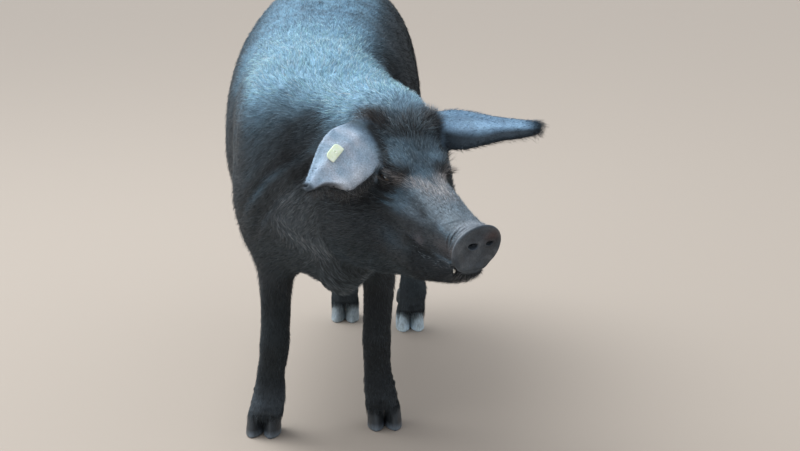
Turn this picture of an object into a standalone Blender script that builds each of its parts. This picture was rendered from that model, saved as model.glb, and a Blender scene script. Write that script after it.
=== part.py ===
"""A standing black pig: flesh cut into named solids, with horn claws, eyes and an ear tag of their own."""
import math

import bmesh
import bpy
import numpy as np
from mathutils import Matrix

# ---------------------------------------------------------------- sizes of the animal
# Metres. -Y is the way the trunk faces, +X is the animal's left, +Z is up, z = 0 is the floor.
# The sizes are laid out from a working origin on the floor between the fore feet.
TRUNK_END = 0.840                      # back of the buttocks
HEAD_YAW = 27.0                        # degrees the head is turned to its left
HEAD_PITCH = 9.0                       # degrees the head's long axis dips
SNOUT_AT = (0.265, -0.395, 0.464)      # middle of the snout disc
EYE_RADIUS = 0.0125
FORE_FEET = {"left": (0.117, 0.043), "right": (-0.102, 0.006)}
HIND_FEET = {"left": (0.166, 0.623), "right": (0.028, 0.685)}
GAP = 0.0003                           # between neighbouring solids


# ---------------------------------------------------------------- small tools
def unit(v):
    v = np.asarray(v, float)
    return v / np.linalg.norm(v)


def frame_of(yaw, pitch):
    """Rows: left, forward, up of something that faces -Y, turned to its left by yaw and dipped by pitch."""
    y, p = math.radians(yaw), math.radians(pitch)
    f = np.array([math.sin(y) * math.cos(p), -math.cos(y) * math.cos(p), -math.sin(p)])
    l = np.array([math.cos(y), math.sin(y), 0.0])
    return np.array([l, f, np.cross(f, l)])


class Curve:
    """A smooth, overshoot-free curve through (t, value) stations."""

    def __init__(self, ts, vs):
        ts, vs = np.asarray(ts, float), np.asarray(vs, float)
        h, d = np.diff(ts), np.diff(vs) / np.diff(ts)
        m = np.zeros(len(ts))
        m[0], m[-1] = d[0], d[-1]
        for i in range(1, len(ts) - 1):
            if d[i - 1] * d[i] > 0:
                a, b = 2 * h[i] + h[i - 1], h[i] + 2 * h[i - 1]
                m[i] = (a + b) / (a / d[i - 1] + b / d[i])
        self.t = np.linspace(ts[0], ts[-1], 500)
        k = np.clip(np.searchsorted(ts, self.t, side="right") - 1, 0, len(ts) - 2)
        s = (self.t - ts[k]) / h[k]
        self.v = ((2 * s**3 - 3 * s**2 + 1) * vs[k] + (s**3 - 2 * s**2 + s) * h[k] * m[k]
                  + (-2 * s**3 + 3 * s**2) * vs[k + 1] + (s**3 - s**2) * h[k] * m[k + 1])

    def __call__(self, t):
        return np.interp(t, self.t, self.v)


def smin(a, b, k):
    h = np.maximum(k - np.abs(a - b), 0.0) / k
    return np.minimum(a, b) - h * h * k * 0.25


def smax(a, b, k):
    return -smin(-a, -b, k)


def ball(P, c, r, axes=None):
    """Distance to an ellipsoid with radii r along the rows of axes."""
    q = P - np.asarray(c, float)
    if axes is not None:
        q = q @ np.asarray(axes).T
    r = np.asarray(r, float)
    k0 = np.sqrt(((q / r) ** 2).sum(1)) + 1e-9
    k1 = np.sqrt(((q / (r * r)) ** 2).sum(1)) + 1e-9
    return k0 * (k0 - 1.0) / k1


def rod(P, a, b, ra, rb):
    """Distance to a round bar from a to b whose radius runs from ra to rb."""
    a, b = np.asarray(a, float), np.asarray(b, float)
    d = b - a
    t = np.clip(((P - a) @ d) / (d @ d), 0, 1)
    return np.linalg.norm(P - a - t[:, None] * d, axis=1) - (ra + (rb - ra) * t)


def stations(rows, upper=2.25, lower=2.25):
    """Curves from rows of: along, middle side, middle height, half width, reach up, reach down."""
    rows = np.array(rows, float)
    st = {name: Curve(rows[:, 0], rows[:, i + 1]) for i, name in enumerate(("side", "height", "half", "up", "down"))}
    st["span"] = (rows[0, 0], rows[-1, 0])
    st["upper"], st["lower"] = upper, lower
    return st


def loft(side, along, up, st, ends=(0.05, 0.05)):
    """Distance to a body swept along one axis through its stations."""
    t0, t1 = st["span"]
    t = np.clip(along, t0, t1)
    a = side - st["side"](t)
    b = up - st["height"](t)
    w = st["half"](t)
    top = b > 0
    h = np.where(top, st["up"](t), st["down"](t))
    n = np.where(top, st["upper"], st["lower"])
    r = (np.abs(a / w) ** n + np.abs(b / h) ** n) ** (1.0 / n) + 1e-6
    length = np.sqrt(a * a + b * b) + 1e-9
    d = length - np.minimum(length / r, 1.0)
    d = smax(d, t0 - along, ends[0])
    return smax(d, along - t1, ends[1])


# ---------------------------------------------------------------- trunk, rows along y
#    y      side   height half   up     down
TRUNK = stations([
    (-0.125, 0.014, 0.455, 0.075, 0.085, 0.090),
    (-0.085, 0.012, 0.460, 0.110, 0.140, 0.130),
    (-0.030, 0.006, 0.468, 0.128, 0.190, 0.158),
    (0.050, 0.000, 0.478, 0.142, 0.214, 0.170),
    (0.150, -0.003, 0.478, 0.161, 0.232, 0.180),
    (0.280, -0.002, 0.474, 0.182, 0.254, 0.188),
    (0.400, 0.002, 0.474, 0.186, 0.268, 0.186),
    (0.520, 0.008, 0.480, 0.178, 0.270, 0.170),
    (0.620, 0.014, 0.486, 0.166, 0.254, 0.150),
    (0.710, 0.018, 0.488, 0.144, 0.212, 0.134),
    (0.790, 0.020, 0.484, 0.108, 0.150, 0.112),
    (0.840, 0.020, 0.478, 0.066, 0.090, 0.080),
], upper=2.45, lower=2.05)


# ---------------------------------------------------------------- legs, rows up z, the way back is their "up"
def leg(rows, foot):
    """Rows of: z, middle x and y from the foot, half width, reach back, reach forward."""
    return stations([(z, foot[0] + x, foot[1] + y, half, back, front) for z, x, y, half, back, front in rows])


LEGS = {
    "fore_right": leg([
        (0.015, 0.000, 0.000, 0.0315, 0.030, 0.036),
        (0.035, 0.003, 0.001, 0.0320, 0.031, 0.034),
        (0.055, 0.008, 0.004, 0.0315, 0.032, 0.032),
        (0.080, 0.012, 0.008, 0.0295, 0.031, 0.029),
        (0.115, 0.015, 0.008, 0.0265, 0.026, 0.025),
        (0.150, 0.021, 0.004, 0.0270, 0.028, 0.028),
        (0.180, 0.0235, 0.003, 0.0275, 0.032, 0.031),
        (0.225, 0.025, 0.008, 0.0285, 0.040, 0.032),
        (0.275, 0.026, 0.014, 0.0315, 0.052, 0.040),
        (0.330, 0.024, 0.022, 0.0390, 0.068, 0.052),
        (0.400, 0.020, 0.028, 0.0480, 0.080, 0.070),
        (0.470, 0.012, 0.034, 0.0520, 0.085, 0.080),
    ], FORE_FEET["right"]),
    "fore_left": leg([
        (0.015, 0.000, 0.000, 0.0315, 0.030, 0.036),
        (0.035, -0.003, 0.001, 0.0315, 0.031, 0.034),
        (0.055, -0.006, 0.004, 0.0305, 0.032, 0.032),
        (0.080, -0.010, 0.006, 0.0290, 0.031, 0.029),
        (0.115, -0.013, 0.004, 0.0260, 0.026, 0.025),
        (0.150, -0.014, -0.004, 0.0260, 0.028, 0.028),
        (0.180, -0.014, -0.008, 0.0265, 0.032, 0.031),
        (0.225, -0.012, -0.006, 0.0280, 0.040, 0.032),
        (0.275, -0.010, 0.000, 0.0310, 0.052, 0.040),
        (0.330, -0.014, 0.008, 0.0390, 0.068, 0.052),
        (0.400, -0.022, 0.016, 0.0480, 0.080, 0.070),
        (0.470, -0.030, 0.024, 0.0520, 0.085, 0.080),
    ], FORE_FEET["left"]),
    "hind_right": leg([
        (0.015, 0.000, 0.000, 0.0300, 0.028, 0.034),
        (0.035, 0.000, 0.002, 0.0300, 0.029, 0.032),
        (0.055, -0.001, 0.006, 0.0290, 0.029, 0.029),
        (0.082, -0.004, 0.014, 0.0290, 0.028, 0.027),
        (0.120, -0.012, 0.026, 0.0240, 0.025, 0.024),
        (0.160, -0.020, 0.036, 0.0250, 0.028, 0.026),
        (0.200, -0.030, 0.044, 0.0300, 0.036, 0.031),
        (0.240, -0.042, 0.036, 0.0350, 0.044, 0.042),
        (0.290, -0.058, 0.010, 0.0500, 0.066, 0.066),
        (0.350, -0.074, -0.018, 0.0660, 0.095, 0.092),
        (0.420, -0.090, -0.030, 0.0760, 0.115, 0.112),
        (0.500, -0.098, -0.030, 0.0740, 0.115, 0.110),
    ], HIND_FEET["right"]),
    "hind_left": leg([
        (0.015, 0.000, 0.000, 0.0300, 0.028, 0.034),
        (0.035, 0.001, 0.002, 0.0300, 0.029, 0.032),
        (0.055, 0.003, 0.006, 0.0295, 0.029, 0.029),
        (0.082, 0.006, 0.014, 0.0300, 0.028, 0.027),
        (0.120, 0.003, 0.028, 0.0240, 0.025, 0.024),
        (0.160, -0.002, 0.040, 0.0250, 0.028, 0.026),
        (0.200, -0.008, 0.050, 0.0300, 0.036, 0.031),
        (0.240, -0.016, 0.044, 0.0350, 0.044, 0.042),
        (0.290, -0.028, 0.020, 0.0500, 0.066, 0.066),
        (0.350, -0.040, 0.004, 0.0660, 0.095, 0.092),
        (0.420, -0.050, 0.004, 0.0760, 0.115, 0.112),
        (0.500, -0.060, 0.012, 0.0740, 0.115, 0.110),
    ], HIND_FEET["left"]),
}

# ---------------------------------------------------------------- head, rows back from the snout disc
HEAD = frame_of(HEAD_YAW, HEAD_PITCH)
SNOUT = np.array(SNOUT_AT)


def head_point(back, left, up):
    """A point `back` from the snout disc's middle, to the head's left and above its long axis."""
    return SNOUT - back * HEAD[1] + left * HEAD[0] + up * HEAD[2]


def head_coords(P):
    q = (P - SNOUT) @ HEAD.T
    return q[:, 0], -q[:, 1], q[:, 2]


SKULL = stations([
    (0.000, 0.002, -0.006, 0.0445, 0.0400, 0.0400),
    (0.014, 0.002, -0.006, 0.0415, 0.0380, 0.0380),
    (0.030, 0.001, -0.005, 0.0375, 0.0355, 0.0360),
    (0.060, 0.0, -0.006, 0.0385, 0.0395, 0.0400),
    (0.090, 0.0, -0.010, 0.0425, 0.0465, 0.0440),
    (0.127, 0.0, -0.012, 0.0500, 0.0540, 0.0500),
    (0.160, 0.0, -0.012, 0.0535, 0.0590, 0.0640),
    (0.186, 0.0, -0.012, 0.0565, 0.0660, 0.0780),
    (0.214, 0.0, -0.012, 0.0640, 0.0830, 0.0920),
    (0.240, 0.0, -0.010, 0.0725, 0.1030, 0.1020),
    (0.276, 0.0, -0.008, 0.0800, 0.1300, 0.1120),
    (0.310, 0.0, -0.006, 0.0890, 0.1410, 0.1200),
    (0.350, 0.0, -0.004, 0.1000, 0.1380, 0.1250),
], upper=2.05, lower=2.2)
JAW = stations([
    (0.014, 0.0, -0.051, 0.026, 0.018, 0.012),
    (0.045, 0.0, -0.058, 0.034, 0.028, 0.023),
    (0.090, 0.0, -0.067, 0.041, 0.040, 0.033),
    (0.147, 0.0, -0.072, 0.052, 0.050, 0.051),
    (0.200, 0.0, -0.070, 0.064, 0.060, 0.065),
    (0.270, 0.0, -0.062, 0.090, 0.080, 0.084),
    (0.330, 0.0, -0.050, 0.102, 0.100, 0.100),
])
EYE = {"left": head_point(0.2137, 0.0500, 0.0384), "right": head_point(0.2137, -0.0515, 0.0384)}

# ---------------------------------------------------------------- neck, rows from between the shoulders to behind the ears
NECK_ROOT = np.array([0.000, 0.060, 0.500])
NECK_AXIS = unit(head_point(0.270, 0.0, 0.0) - NECK_ROOT)
NECK_LEFT = unit(np.cross((0, 0, 1.0), NECK_AXIS))
NECK_UP = np.cross(NECK_AXIS, NECK_LEFT)
NECK = stations([
    (-0.020, 0.0, 0.0, 0.138, 0.190, 0.170),
    (0.080, 0.0, 0.0, 0.130, 0.178, 0.166),
    (0.160, 0.0, 0.0, 0.118, 0.168, 0.156),
    (0.240, 0.0, 0.0, 0.106, 0.154, 0.148),
    (0.300, 0.0, 0.0, 0.098, 0.130, 0.138),
])

# ---------------------------------------------------------------- ears: a leaf, as a curved sheet
EARS = {
    "right": dict(base=head_point(0.2788, -0.0440, 0.1060), along=(-0.57, -0.77, -0.30), root=(0.65, -0.216, -0.729), tip=(0.65, -0.216, -0.729),
                  length=0.196, droop=0.017, cup=0.009, bow=0.0108,
                  hind=([0.0, 0.10, 0.28, 0.38, 0.48, 0.57, 0.66, 0.76, 0.85, 0.92, 0.97, 1.0], [0.024, 0.029, 0.037, 0.0405, 0.0390, 0.0345, 0.0290, 0.0225, 0.0165, 0.0120, 0.0080, 0.0035]),
                  front=([0.0, 0.10, 0.22, 0.35, 0.50, 0.62, 0.70, 0.76, 0.82, 0.90, 0.97, 1.0], [0.026, 0.036, 0.049, 0.0570, 0.0580, 0.0565, 0.0480, 0.0320, 0.0180, 0.0100, 0.0055, 0.0030])),
    "left": dict(base=head_point(0.2788, 0.0540, 0.1000), along=(0.97, -0.06, 0.03), root=(-0.10, -0.82, -0.80), tip=(0.0, -0.99, -0.16),
                 length=0.184, droop=0.011, cup=0.014, bow=0.0,
                 hind=([0.0, 0.12, 0.30, 0.50, 0.70, 0.86, 0.95, 1.0], [0.025, 0.033, 0.040, 0.043, 0.039, 0.031, 0.021, 0.008]),
                 front=([0.0, 0.12, 0.30, 0.50, 0.70, 0.86, 0.95, 1.0], [0.029, 0.040, 0.052, 0.055, 0.048, 0.036, 0.024, 0.008])),
}
for _ear in EARS.values():
    _ear["hind"], _ear["front"] = Curve(*_ear["hind"]), Curve(*_ear["front"])


def ear_sheet(side, nu, nv):
    """Points and normals of the ear's middle sheet, (nu, nv, 3): base to tip, hind edge to front edge."""
    e = EARS[side]
    D = unit(e["along"])
    u = np.linspace(-0.12, 1.0, nu)[:, None] + np.zeros((1, nv))
    v = np.linspace(-1, 1, nv)[None, :] + np.zeros((nu, 1))
    uu = np.clip(u, 0, 1)
    turn = np.clip(u, 0, 0.7) / 0.7                             # the leaf turns flatter from root to tip
    turn = (turn * turn * (3 - 2 * turn))[..., None]
    W = (1 - turn) * unit(e["root"]) + turn * unit(e["tip"])
    W = W - (W @ D)[..., None] * D
    W /= np.linalg.norm(W, axis=-1, keepdims=True)
    N = np.cross(D, W)
    N *= np.sign(N[..., 2:3].mean())
    x = ear_bow(e, uu) + np.where(v < 0, e["hind"](uu), e["front"](uu)) * v
    lift = -e["droop"] * uu**2.2 - e["cup"] * (1.25 - 0.85 * uu) * np.abs(v) ** 2.2
    P = e["base"] + (e["length"] * u)[..., None] * D + x[..., None] * W + lift[..., None] * N
    du, dv = np.gradient(P, axis=0), np.gradient(P, axis=1)
    n = np.cross(du, dv)
    n /= np.linalg.norm(n, axis=-1, keepdims=True)
    if (n * N).sum(-1).mean() < 0:
        n = -n
    return P, n, u, v


def ear_bow(e, u):
    """How far the ear's midline bends towards its front edge."""
    t = np.clip((u - 0.55) / 0.45, 0, 1)
    return e["bow"] * t * t * (3 - 2 * t)


def ear_half(u, v):
    """Half the thickness of the ear, coat included."""
    return 0.0044 * (1 - 0.40 * np.abs(v) ** 2) * (1 - 0.30 * np.clip(u, 0, 1)) + 0.030 * np.clip(0.10 - u, 0, 1)


# ---------------------------------------------------------------- tail: hangs from the rump
def tail_point(s):
    """The tail's midline, s from 0 at its root to 1 at its tip."""
    y = TRUNK_END - 0.050 + 0.082 * np.sin(np.minimum(s * 3.0, 1.0) * math.pi / 2) - 0.008 * s
    x = 0.020 + 0.022 * np.sin(s * 4.2) * s
    z = 0.592 - 0.010 * np.minimum(s * 3.0, 1.0) - 0.235 * np.maximum(s - 0.12, 0)**1.15
    return np.stack([x, y, z], axis=-1)


def tail_radius(s):
    return 0.0110 * (1 - s) ** 0.9 + 0.0060 + 0.020 * np.clip(0.15 - s, 0, 1)


# ---------------------------------------------------------------- the whole flesh, as one distance field
def head_field(P):
    a, t, b = head_coords(P)
    w = 1.0 / (1.0 + (np.maximum(t, 0) / 0.045) ** 2)      # the disc faces a little down and to its left
    h = loft(a, t - (0.110 * a - 0.187 * b) * w, b, SKULL, ends=(0.010, 0.10))
    h = smin(h, loft(a, t, b, JAW, ends=(0.014, 0.10)), 0.014)
    for s in (-1, 1):
        h = smin(h, ball(P, head_point(0.303, 0.062 * s, -0.048), (0.038, 0.058, 0.062), HEAD), 0.04)   # jowl
        h = smin(h, ball(P, head_point(0.224, 0.036 * s, 0.058), (0.020, 0.032, 0.016), HEAD), 0.03)    # brow
    return h


def flesh(P, tail=True):
    """Distance to the animal's outer surface, coat included, negative inside."""
    x, y, z = P[:, 0], P[:, 1], P[:, 2]
    d = loft(x, y, z, TRUNK, ends=(0.11, 0.16))
    for s in (-1, 1):
        d = smin(d, ball(P, (0.080 * s, 0.050, 0.520), (0.044, 0.095, 0.125)), 0.05)                    # shoulder
        d = smin(d, ball(P, (0.080 * s + 0.018, 0.665, 0.500), (0.064, 0.125, 0.150)), 0.05)            # ham
    q = P - NECK_ROOT
    d = smin(d, loft(q @ NECK_LEFT, q @ NECK_AXIS, q @ NECK_UP, NECK, ends=(0.05, 0.10)), 0.05)
    d = smin(d, ball(P, (0.046, -0.035, 0.360), (0.050, 0.080, 0.084)), 0.045)                          # brisket
    d = smin(d, head_field(P), 0.045)
    for st in LEGS.values():
        d = smin(d, loft(x, z, y, st, ends=(0.010, 0.08)), 0.05)
    if not tail:
        return d
    s = np.linspace(0, 1, 13)
    pts, rad = tail_point(s), tail_radius(s)
    near = np.nonzero((y > TRUNK_END - 0.12) & (np.abs(x) < 0.15))[0]
    if len(near):
        Q = P[near]
        g = rod(Q, pts[0], pts[1], rad[0], rad[1])
        for i in range(1, 12):
            g = np.minimum(g, rod(Q, pts[i], pts[i + 1], rad[i], rad[i + 1]))
        d[near] = smin(d[near], g, 0.025)
    return d


def polygonise(f, lo, hi, step, block=14, keep=1.25):
    """A closed quad mesh of f = 0 (surface nets), evaluated only near the surface."""
    lo = np.asarray(lo, float)
    n = (np.ceil((np.asarray(hi) - lo) / step / block) * block).astype(int)
    nb = n // block
    cb = [(np.arange(m) + 0.5) * block * step + o for m, o in zip(nb, lo)]
    C = np.stack(np.meshgrid(*cb, indexing="ij"), -1).reshape(-1, 3)
    fc = f(C)
    V = np.where(fc > 0, 1.0, -1.0).reshape(nb).astype(np.float32)
    V = np.repeat(np.repeat(np.repeat(V, block, 0), block, 1), block, 2)
    live = np.nonzero(np.abs(fc) < block * step * 0.87 * keep)[0]
    r = np.arange(block)
    L = np.stack(np.meshgrid(r, r, r, indexing="ij"), -1).reshape(-1, 3)
    ib = np.stack(np.unravel_index(live, nb), -1) * block
    for s in range(0, len(live), 120):
        I = (ib[s:s + 120, None, :] + L[None]).reshape(-1, 3)
        V[I[:, 0], I[:, 1], I[:, 2]] = f(lo + I * step)
    S = V < 0
    cells = np.zeros(tuple(n - 1), np.int8)
    off = [(i, j, k) for i in (0, 1) for j in (0, 1) for k in (0, 1)]
    for i, j, k in off:
        cells += S[i:n[0] - 1 + i, j:n[1] - 1 + j, k:n[2] - 1 + k]
    act = np.argwhere((cells > 0) & (cells < 8))
    number = np.full(tuple(n - 1), -1, np.int32)
    number[tuple(act.T)] = np.arange(len(act))
    F = [V[act[:, 0] + i, act[:, 1] + j, act[:, 2] + k] for i, j, k in off]
    pos, cnt = np.zeros((len(act), 3)), np.zeros(len(act))
    for p in range(8):
        for q in range(p + 1, 8):
            d = np.array(off[q]) - np.array(off[p])
            if np.abs(d).sum() != 1:
                continue
            cross = (F[p] < 0) != (F[q] < 0)
            t = F[p][cross] / (F[p][cross] - F[q][cross])
            pos[cross] += np.array(off[p]) + t[:, None] * d
            cnt[cross] += 1
    verts = lo + (act + pos / cnt[:, None]) * step
    quads = []
    for ax in range(3):
        b1, b2 = (ax + 1) % 3, (ax + 2) % 3
        A = S[tuple(slice(0, -1) if k == ax else slice(None) for k in range(3))]
        B = S[tuple(slice(1, None) if k == ax else slice(None) for k in range(3))]
        e = np.argwhere(A != B)
        e = e[(e[:, b1] > 0) & (e[:, b2] > 0) & (e[:, b1] < n[b1] - 1) & (e[:, b2] < n[b2] - 1)]
        flip = A[tuple(e.T)]
        q = []
        for o1, o2 in ((-1, -1), (0, -1), (0, 0), (-1, 0)):
            c = e.copy()
            c[:, b1] += o1
            c[:, b2] += o2
            q.append(number[tuple(c.T)])
        q = np.stack(q, 1)
        q[~flip] = q[~flip][:, ::-1]
        quads.append(q)
    return verts, np.concatenate(quads)


# ---------------------------------------------------------------- solids
def paint(name, rgb, roughness):
    m = bpy.data.materials.new(name)
    m.use_nodes = True
    b = m.node_tree.nodes["Principled BSDF"]
    b.inputs["Base Color"].default_value = (*rgb, 1.0)
    b.inputs["Roughness"].default_value = roughness
    m.diffuse_color = (*rgb, 1.0)
    return m


def solid(name, verts, faces, material=None):
    me = bpy.data.meshes.new(name)
    me.from_pydata([tuple(map(float, v)) for v in verts], [], [tuple(map(int, f)) for f in faces])
    me.update()
    ob = bpy.data.objects.new(name, me)
    bpy.context.scene.collection.objects.link(ob)
    if material:
        me.materials.append(material)
    return ob


def apply_modifier(ob, kind, **settings):
    m = ob.modifiers.new(kind, kind)
    for k, v in settings.items():
        setattr(m, k, v)
    bpy.context.view_layer.objects.active = ob
    bpy.ops.object.modifier_apply(modifier=m.name)


def cut(ob, cutter, how="DIFFERENCE"):
    apply_modifier(ob, "BOOLEAN", object=cutter, operation=how, solver="EXACT")


def twin(ob, name):
    c = ob.copy()
    c.data = ob.data.copy()
    c.name = c.data.name = name
    bpy.context.scene.collection.objects.link(c)
    return c


def drop(ob):
    bpy.data.objects.remove(ob, do_unlink=True)


def block(name, origin, axes, lo, hi):
    """A box between lo and hi, measured from origin along the rows of axes."""
    c = [[lo[0], lo[1], lo[2]], [hi[0], lo[1], lo[2]], [hi[0], hi[1], lo[2]], [lo[0], hi[1], lo[2]],
         [lo[0], lo[1], hi[2]], [hi[0], lo[1], hi[2]], [hi[0], hi[1], hi[2]], [lo[0], hi[1], hi[2]]]
    v = np.asarray(origin) + np.array(c) @ np.asarray(axes)
    f = [(0, 3, 2, 1), (4, 5, 6, 7), (0, 1, 5, 4), (1, 2, 6, 5), (2, 3, 7, 6), (3, 0, 4, 7)]
    if np.linalg.det(np.asarray(axes)) < 0:
        f = [g[::-1] for g in f]
    return solid(name, v, f)


def part_off(body, name, origin, axes, lo, hi, material):
    """Take the piece of body inside a box away as a node of its own, leaving a gap round it."""
    inner = block("inner", origin, axes, lo, hi)
    outer = block("outer", origin, axes, np.array(lo) - GAP, np.array(hi) + GAP)
    piece = twin(body, name)
    cut(piece, inner, "INTERSECT")
    cut(body, outer)
    drop(inner)
    drop(outer)
    piece.data.materials.clear()
    piece.data.materials.append(material)
    return piece


def rings(name, loops, material):
    """A closed solid skinned over loops of equal length, capped by its first and last loop."""
    n = len(loops[0])
    verts = [p for l in loops for p in l]
    faces = [tuple(range(n))[::-1], tuple((len(loops) - 1) * n + i for i in range(n))]
    for k in range(len(loops) - 1):
        for i in range(n):
            j = (i + 1) % n
            faces.append((k * n + i, k * n + j, (k + 1) * n + j, (k + 1) * n + i))
    return solid(name, verts, faces, material)


# ---------------------------------------------------------------- feet
CLAW = {"fore": (0.0325, 0.063), "hind": (0.0305, 0.060)}      # width and length of one claw's sole
CORONET = 0.039                                                # height where horn meets skin
CORONET_SLOPE = 0.20                                           # it rises towards the toe


def claw_loops(kind, hand, around=14):
    """Loops of one claw from its sole up. hand -1 is on the foot's right, +1 on its left; toes point along +y here."""
    w, length = CLAW[kind]
    ph = np.linspace(0, 2 * math.pi, around, endpoint=False)
    c, s = np.cos(ph), np.sin(ph)
    x = 0.5 * w * np.sign(c) * np.abs(c) ** 0.85
    y = 0.5 * length * np.sign(s) * np.abs(s) ** 0.90
    x = x * (1 - 0.42 * np.clip(s, 0, 1) ** 2) * np.where(c * hand < 0, 0.80, 1.0)    # pointed toe, flat inner wall
    x = x + hand * (0.5 * w * 0.86 + 0.0014)
    out = []
    for k, h in enumerate((0.0, 0.10, 0.55, 1.0)):
        grow = (0.94, 1.0, 0.96, 0.90)[k]
        back = -0.012 * h
        xx, yy = x * (grow if k != 3 else 0.93), y * grow + back
        splay = math.radians(4.0) * hand
        xr = xx * math.cos(splay) + yy * math.sin(splay)
        yr = -xx * math.sin(splay) + yy * math.cos(splay)
        zz = h * (CORONET + CORONET_SLOPE * yr)
        out.append(np.stack([xr, yr, zz], -1))
    return out


def to_foot(p, foot, yaw):
    """From a foot's own frame, toes along +y, to the animal's, toes along -y and turned to its left by yaw degrees."""
    f = frame_of(yaw, 0.0)
    left, fwd = f[0], f[1]
    q = -p[..., 0:1] * -1.0 * left[:2] + p[..., 1:2] * fwd[:2]
    return np.concatenate([q + np.asarray(foot), p[..., 2:3]], -1)


def dewclaw_loops(hand):
    """Loops of the small raised claw behind the pastern, from its root to its blunt tip."""
    root = np.array([0.0140 * hand, -0.0220, 0.0780])
    tip = np.array([0.0180 * hand, -0.0430, 0.0450])
    d = unit(tip - root)
    side = unit(np.cross(d, (0, 0, 1.0)))
    other = np.cross(side, d)
    ph = np.linspace(0, 2 * math.pi, 8, endpoint=False)
    out = []
    for t, r in ((0.0, 0.0105), (0.45, 0.0100), (0.80, 0.0075), (1.0, 0.0035)):
        c = root + t * (tip - root)
        out.append(c + r * (np.cos(ph)[:, None] * side + 0.8 * np.sin(ph)[:, None] * other))
    return out


FEET = {
    "fore_left": (FORE_FEET["left"], 6.0), "fore_right": (FORE_FEET["right"], -8.0),
    "hind_left": (HIND_FEET["left"], 6.0), "hind_right": (HIND_FEET["right"], -4.0),
}


def ear_solid(name, side, material, nu=14, nv=9):
    """The ear as a closed leaf, a little thicker at its root than at its rim."""
    P, n, u, v = ear_sheet(side, nu, nv)
    h = ear_half(u, v)[..., None]
    top, bottom = (P + n * h).reshape(-1, 3), (P - n * h).reshape(-1, 3)
    at = lambda i, j: i * nv + j
    m = nu * nv
    faces = []
    for i in range(nu - 1):
        for j in range(nv - 1):
            faces.append((at(i, j), at(i + 1, j), at(i + 1, j + 1), at(i, j + 1)))
            faces.append((m + at(i, j), m + at(i, j + 1), m + at(i + 1, j + 1), m + at(i + 1, j)))
    edge = ([(i, 0) for i in range(nu)] + [(nu - 1, j) for j in range(1, nv)]
            + [(i, nv - 1) for i in range(nu - 2, -1, -1)] + [(0, j) for j in range(nv - 2, 0, -1)])
    for k in range(len(edge)):
        a, b = at(*edge[k]), at(*edge[(k + 1) % len(edge)])
        faces.append((a, m + a, m + b, b))
    ob = solid(name, np.concatenate([top, bottom]), faces, material)
    outward(ob)
    return ob


def tail_solid(name, material, around=10, along=15):
    """The tail as loops square to its midline."""
    loops = []
    for s in np.linspace(0.0, 1.0, along):
        c = tail_point(np.array([s]))[0]
        d = unit(tail_point(np.array([s + 0.01]))[0] - tail_point(np.array([s - 0.01 if s > 0 else s]))[0])
        side = unit(np.cross(d, (1.0, 0.2, 0.0)))
        other = np.cross(d, side)
        ph = np.linspace(0, 2 * math.pi, around, endpoint=False)
        r = float(tail_radius(np.array([s]))[0]) * (0.7 if s == 1.0 else 1.0)
        loops.append(c + r * (np.cos(ph)[:, None] * side + np.sin(ph)[:, None] * other))
    ob = rings(name, loops, material)
    outward(ob)
    return ob


def outward(ob):
    """Turn every face outward."""
    bm = bmesh.new()
    bm.from_mesh(ob.data)
    bmesh.ops.recalc_face_normals(bm, faces=bm.faces)
    if bm.calc_volume(signed=True) < 0:
        bmesh.ops.reverse_faces(bm, faces=bm.faces)
    bm.to_mesh(ob.data)
    bm.free()


def grown(ob, by):
    """A copy pushed out along its normals."""
    c = twin(ob, "grown")
    bm = bmesh.new()
    bm.from_mesh(c.data)
    bm.normal_update()
    for v in bm.verts:
        v.co += v.normal * by
    bm.to_mesh(c.data)
    bm.free()
    return c


def tidy(ob):
    """Triangles only, no crumbs left over from the cutting, and one body."""
    bm = bmesh.new()
    bm.from_mesh(ob.data)
    bmesh.ops.remove_doubles(bm, verts=bm.verts, dist=2e-5)
    bmesh.ops.dissolve_degenerate(bm, edges=bm.edges, dist=2e-5)
    bmesh.ops.triangulate(bm, faces=bm.faces)
    left = set(bm.faces)
    groups = []
    while left:
        seed = left.pop()
        group, todo = [seed], [seed]
        while todo:
            f = todo.pop()
            for e in f.edges:
                for g in e.link_faces:
                    if g in left:
                        left.remove(g)
                        group.append(g)
                        todo.append(g)
        groups.append(group)
    groups.sort(key=lambda g: -sum(f.calc_area() for f in g))
    for g in groups[1:]:
        print("crumb of", ob.name, len(g), g[0].calc_center_median()[:])
        bmesh.ops.delete(bm, geom=g, context="FACES")
    loose = [v for v in bm.verts if not v.link_faces]
    bmesh.ops.delete(bm, geom=loose, context="VERTS")
    bm.to_mesh(ob.data)
    n = len(bm.faces)
    bm.free()
    return n, len(groups)


def sphere(name, centre, radius, material=None, seg=16, rings_=9):
    loops = []
    for k in range(1, rings_):
        a = math.pi * k / rings_
        ph = np.linspace(0, 2 * math.pi, seg, endpoint=False)
        loops.append(np.asarray(centre) + radius * np.stack([math.sin(a) * np.cos(ph), math.sin(a) * np.sin(ph), -math.cos(a) + 0 * ph], -1))
    verts = [np.asarray(centre) + (0, 0, -radius)] + [p for l in loops for p in l] + [np.asarray(centre) + (0, 0, radius)]
    faces = []
    for i in range(seg):
        j = (i + 1) % seg
        faces.append((0, 1 + j, 1 + i))
        for k in range(len(loops) - 1):
            a, b = 1 + k * seg, 1 + (k + 1) * seg
            faces.append((a + i, a + j, b + j, b + i))
        a = 1 + (len(loops) - 1) * seg
        faces.append((a + i, a + j, len(verts) - 1))
    return solid(name, verts, faces, material)


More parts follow.
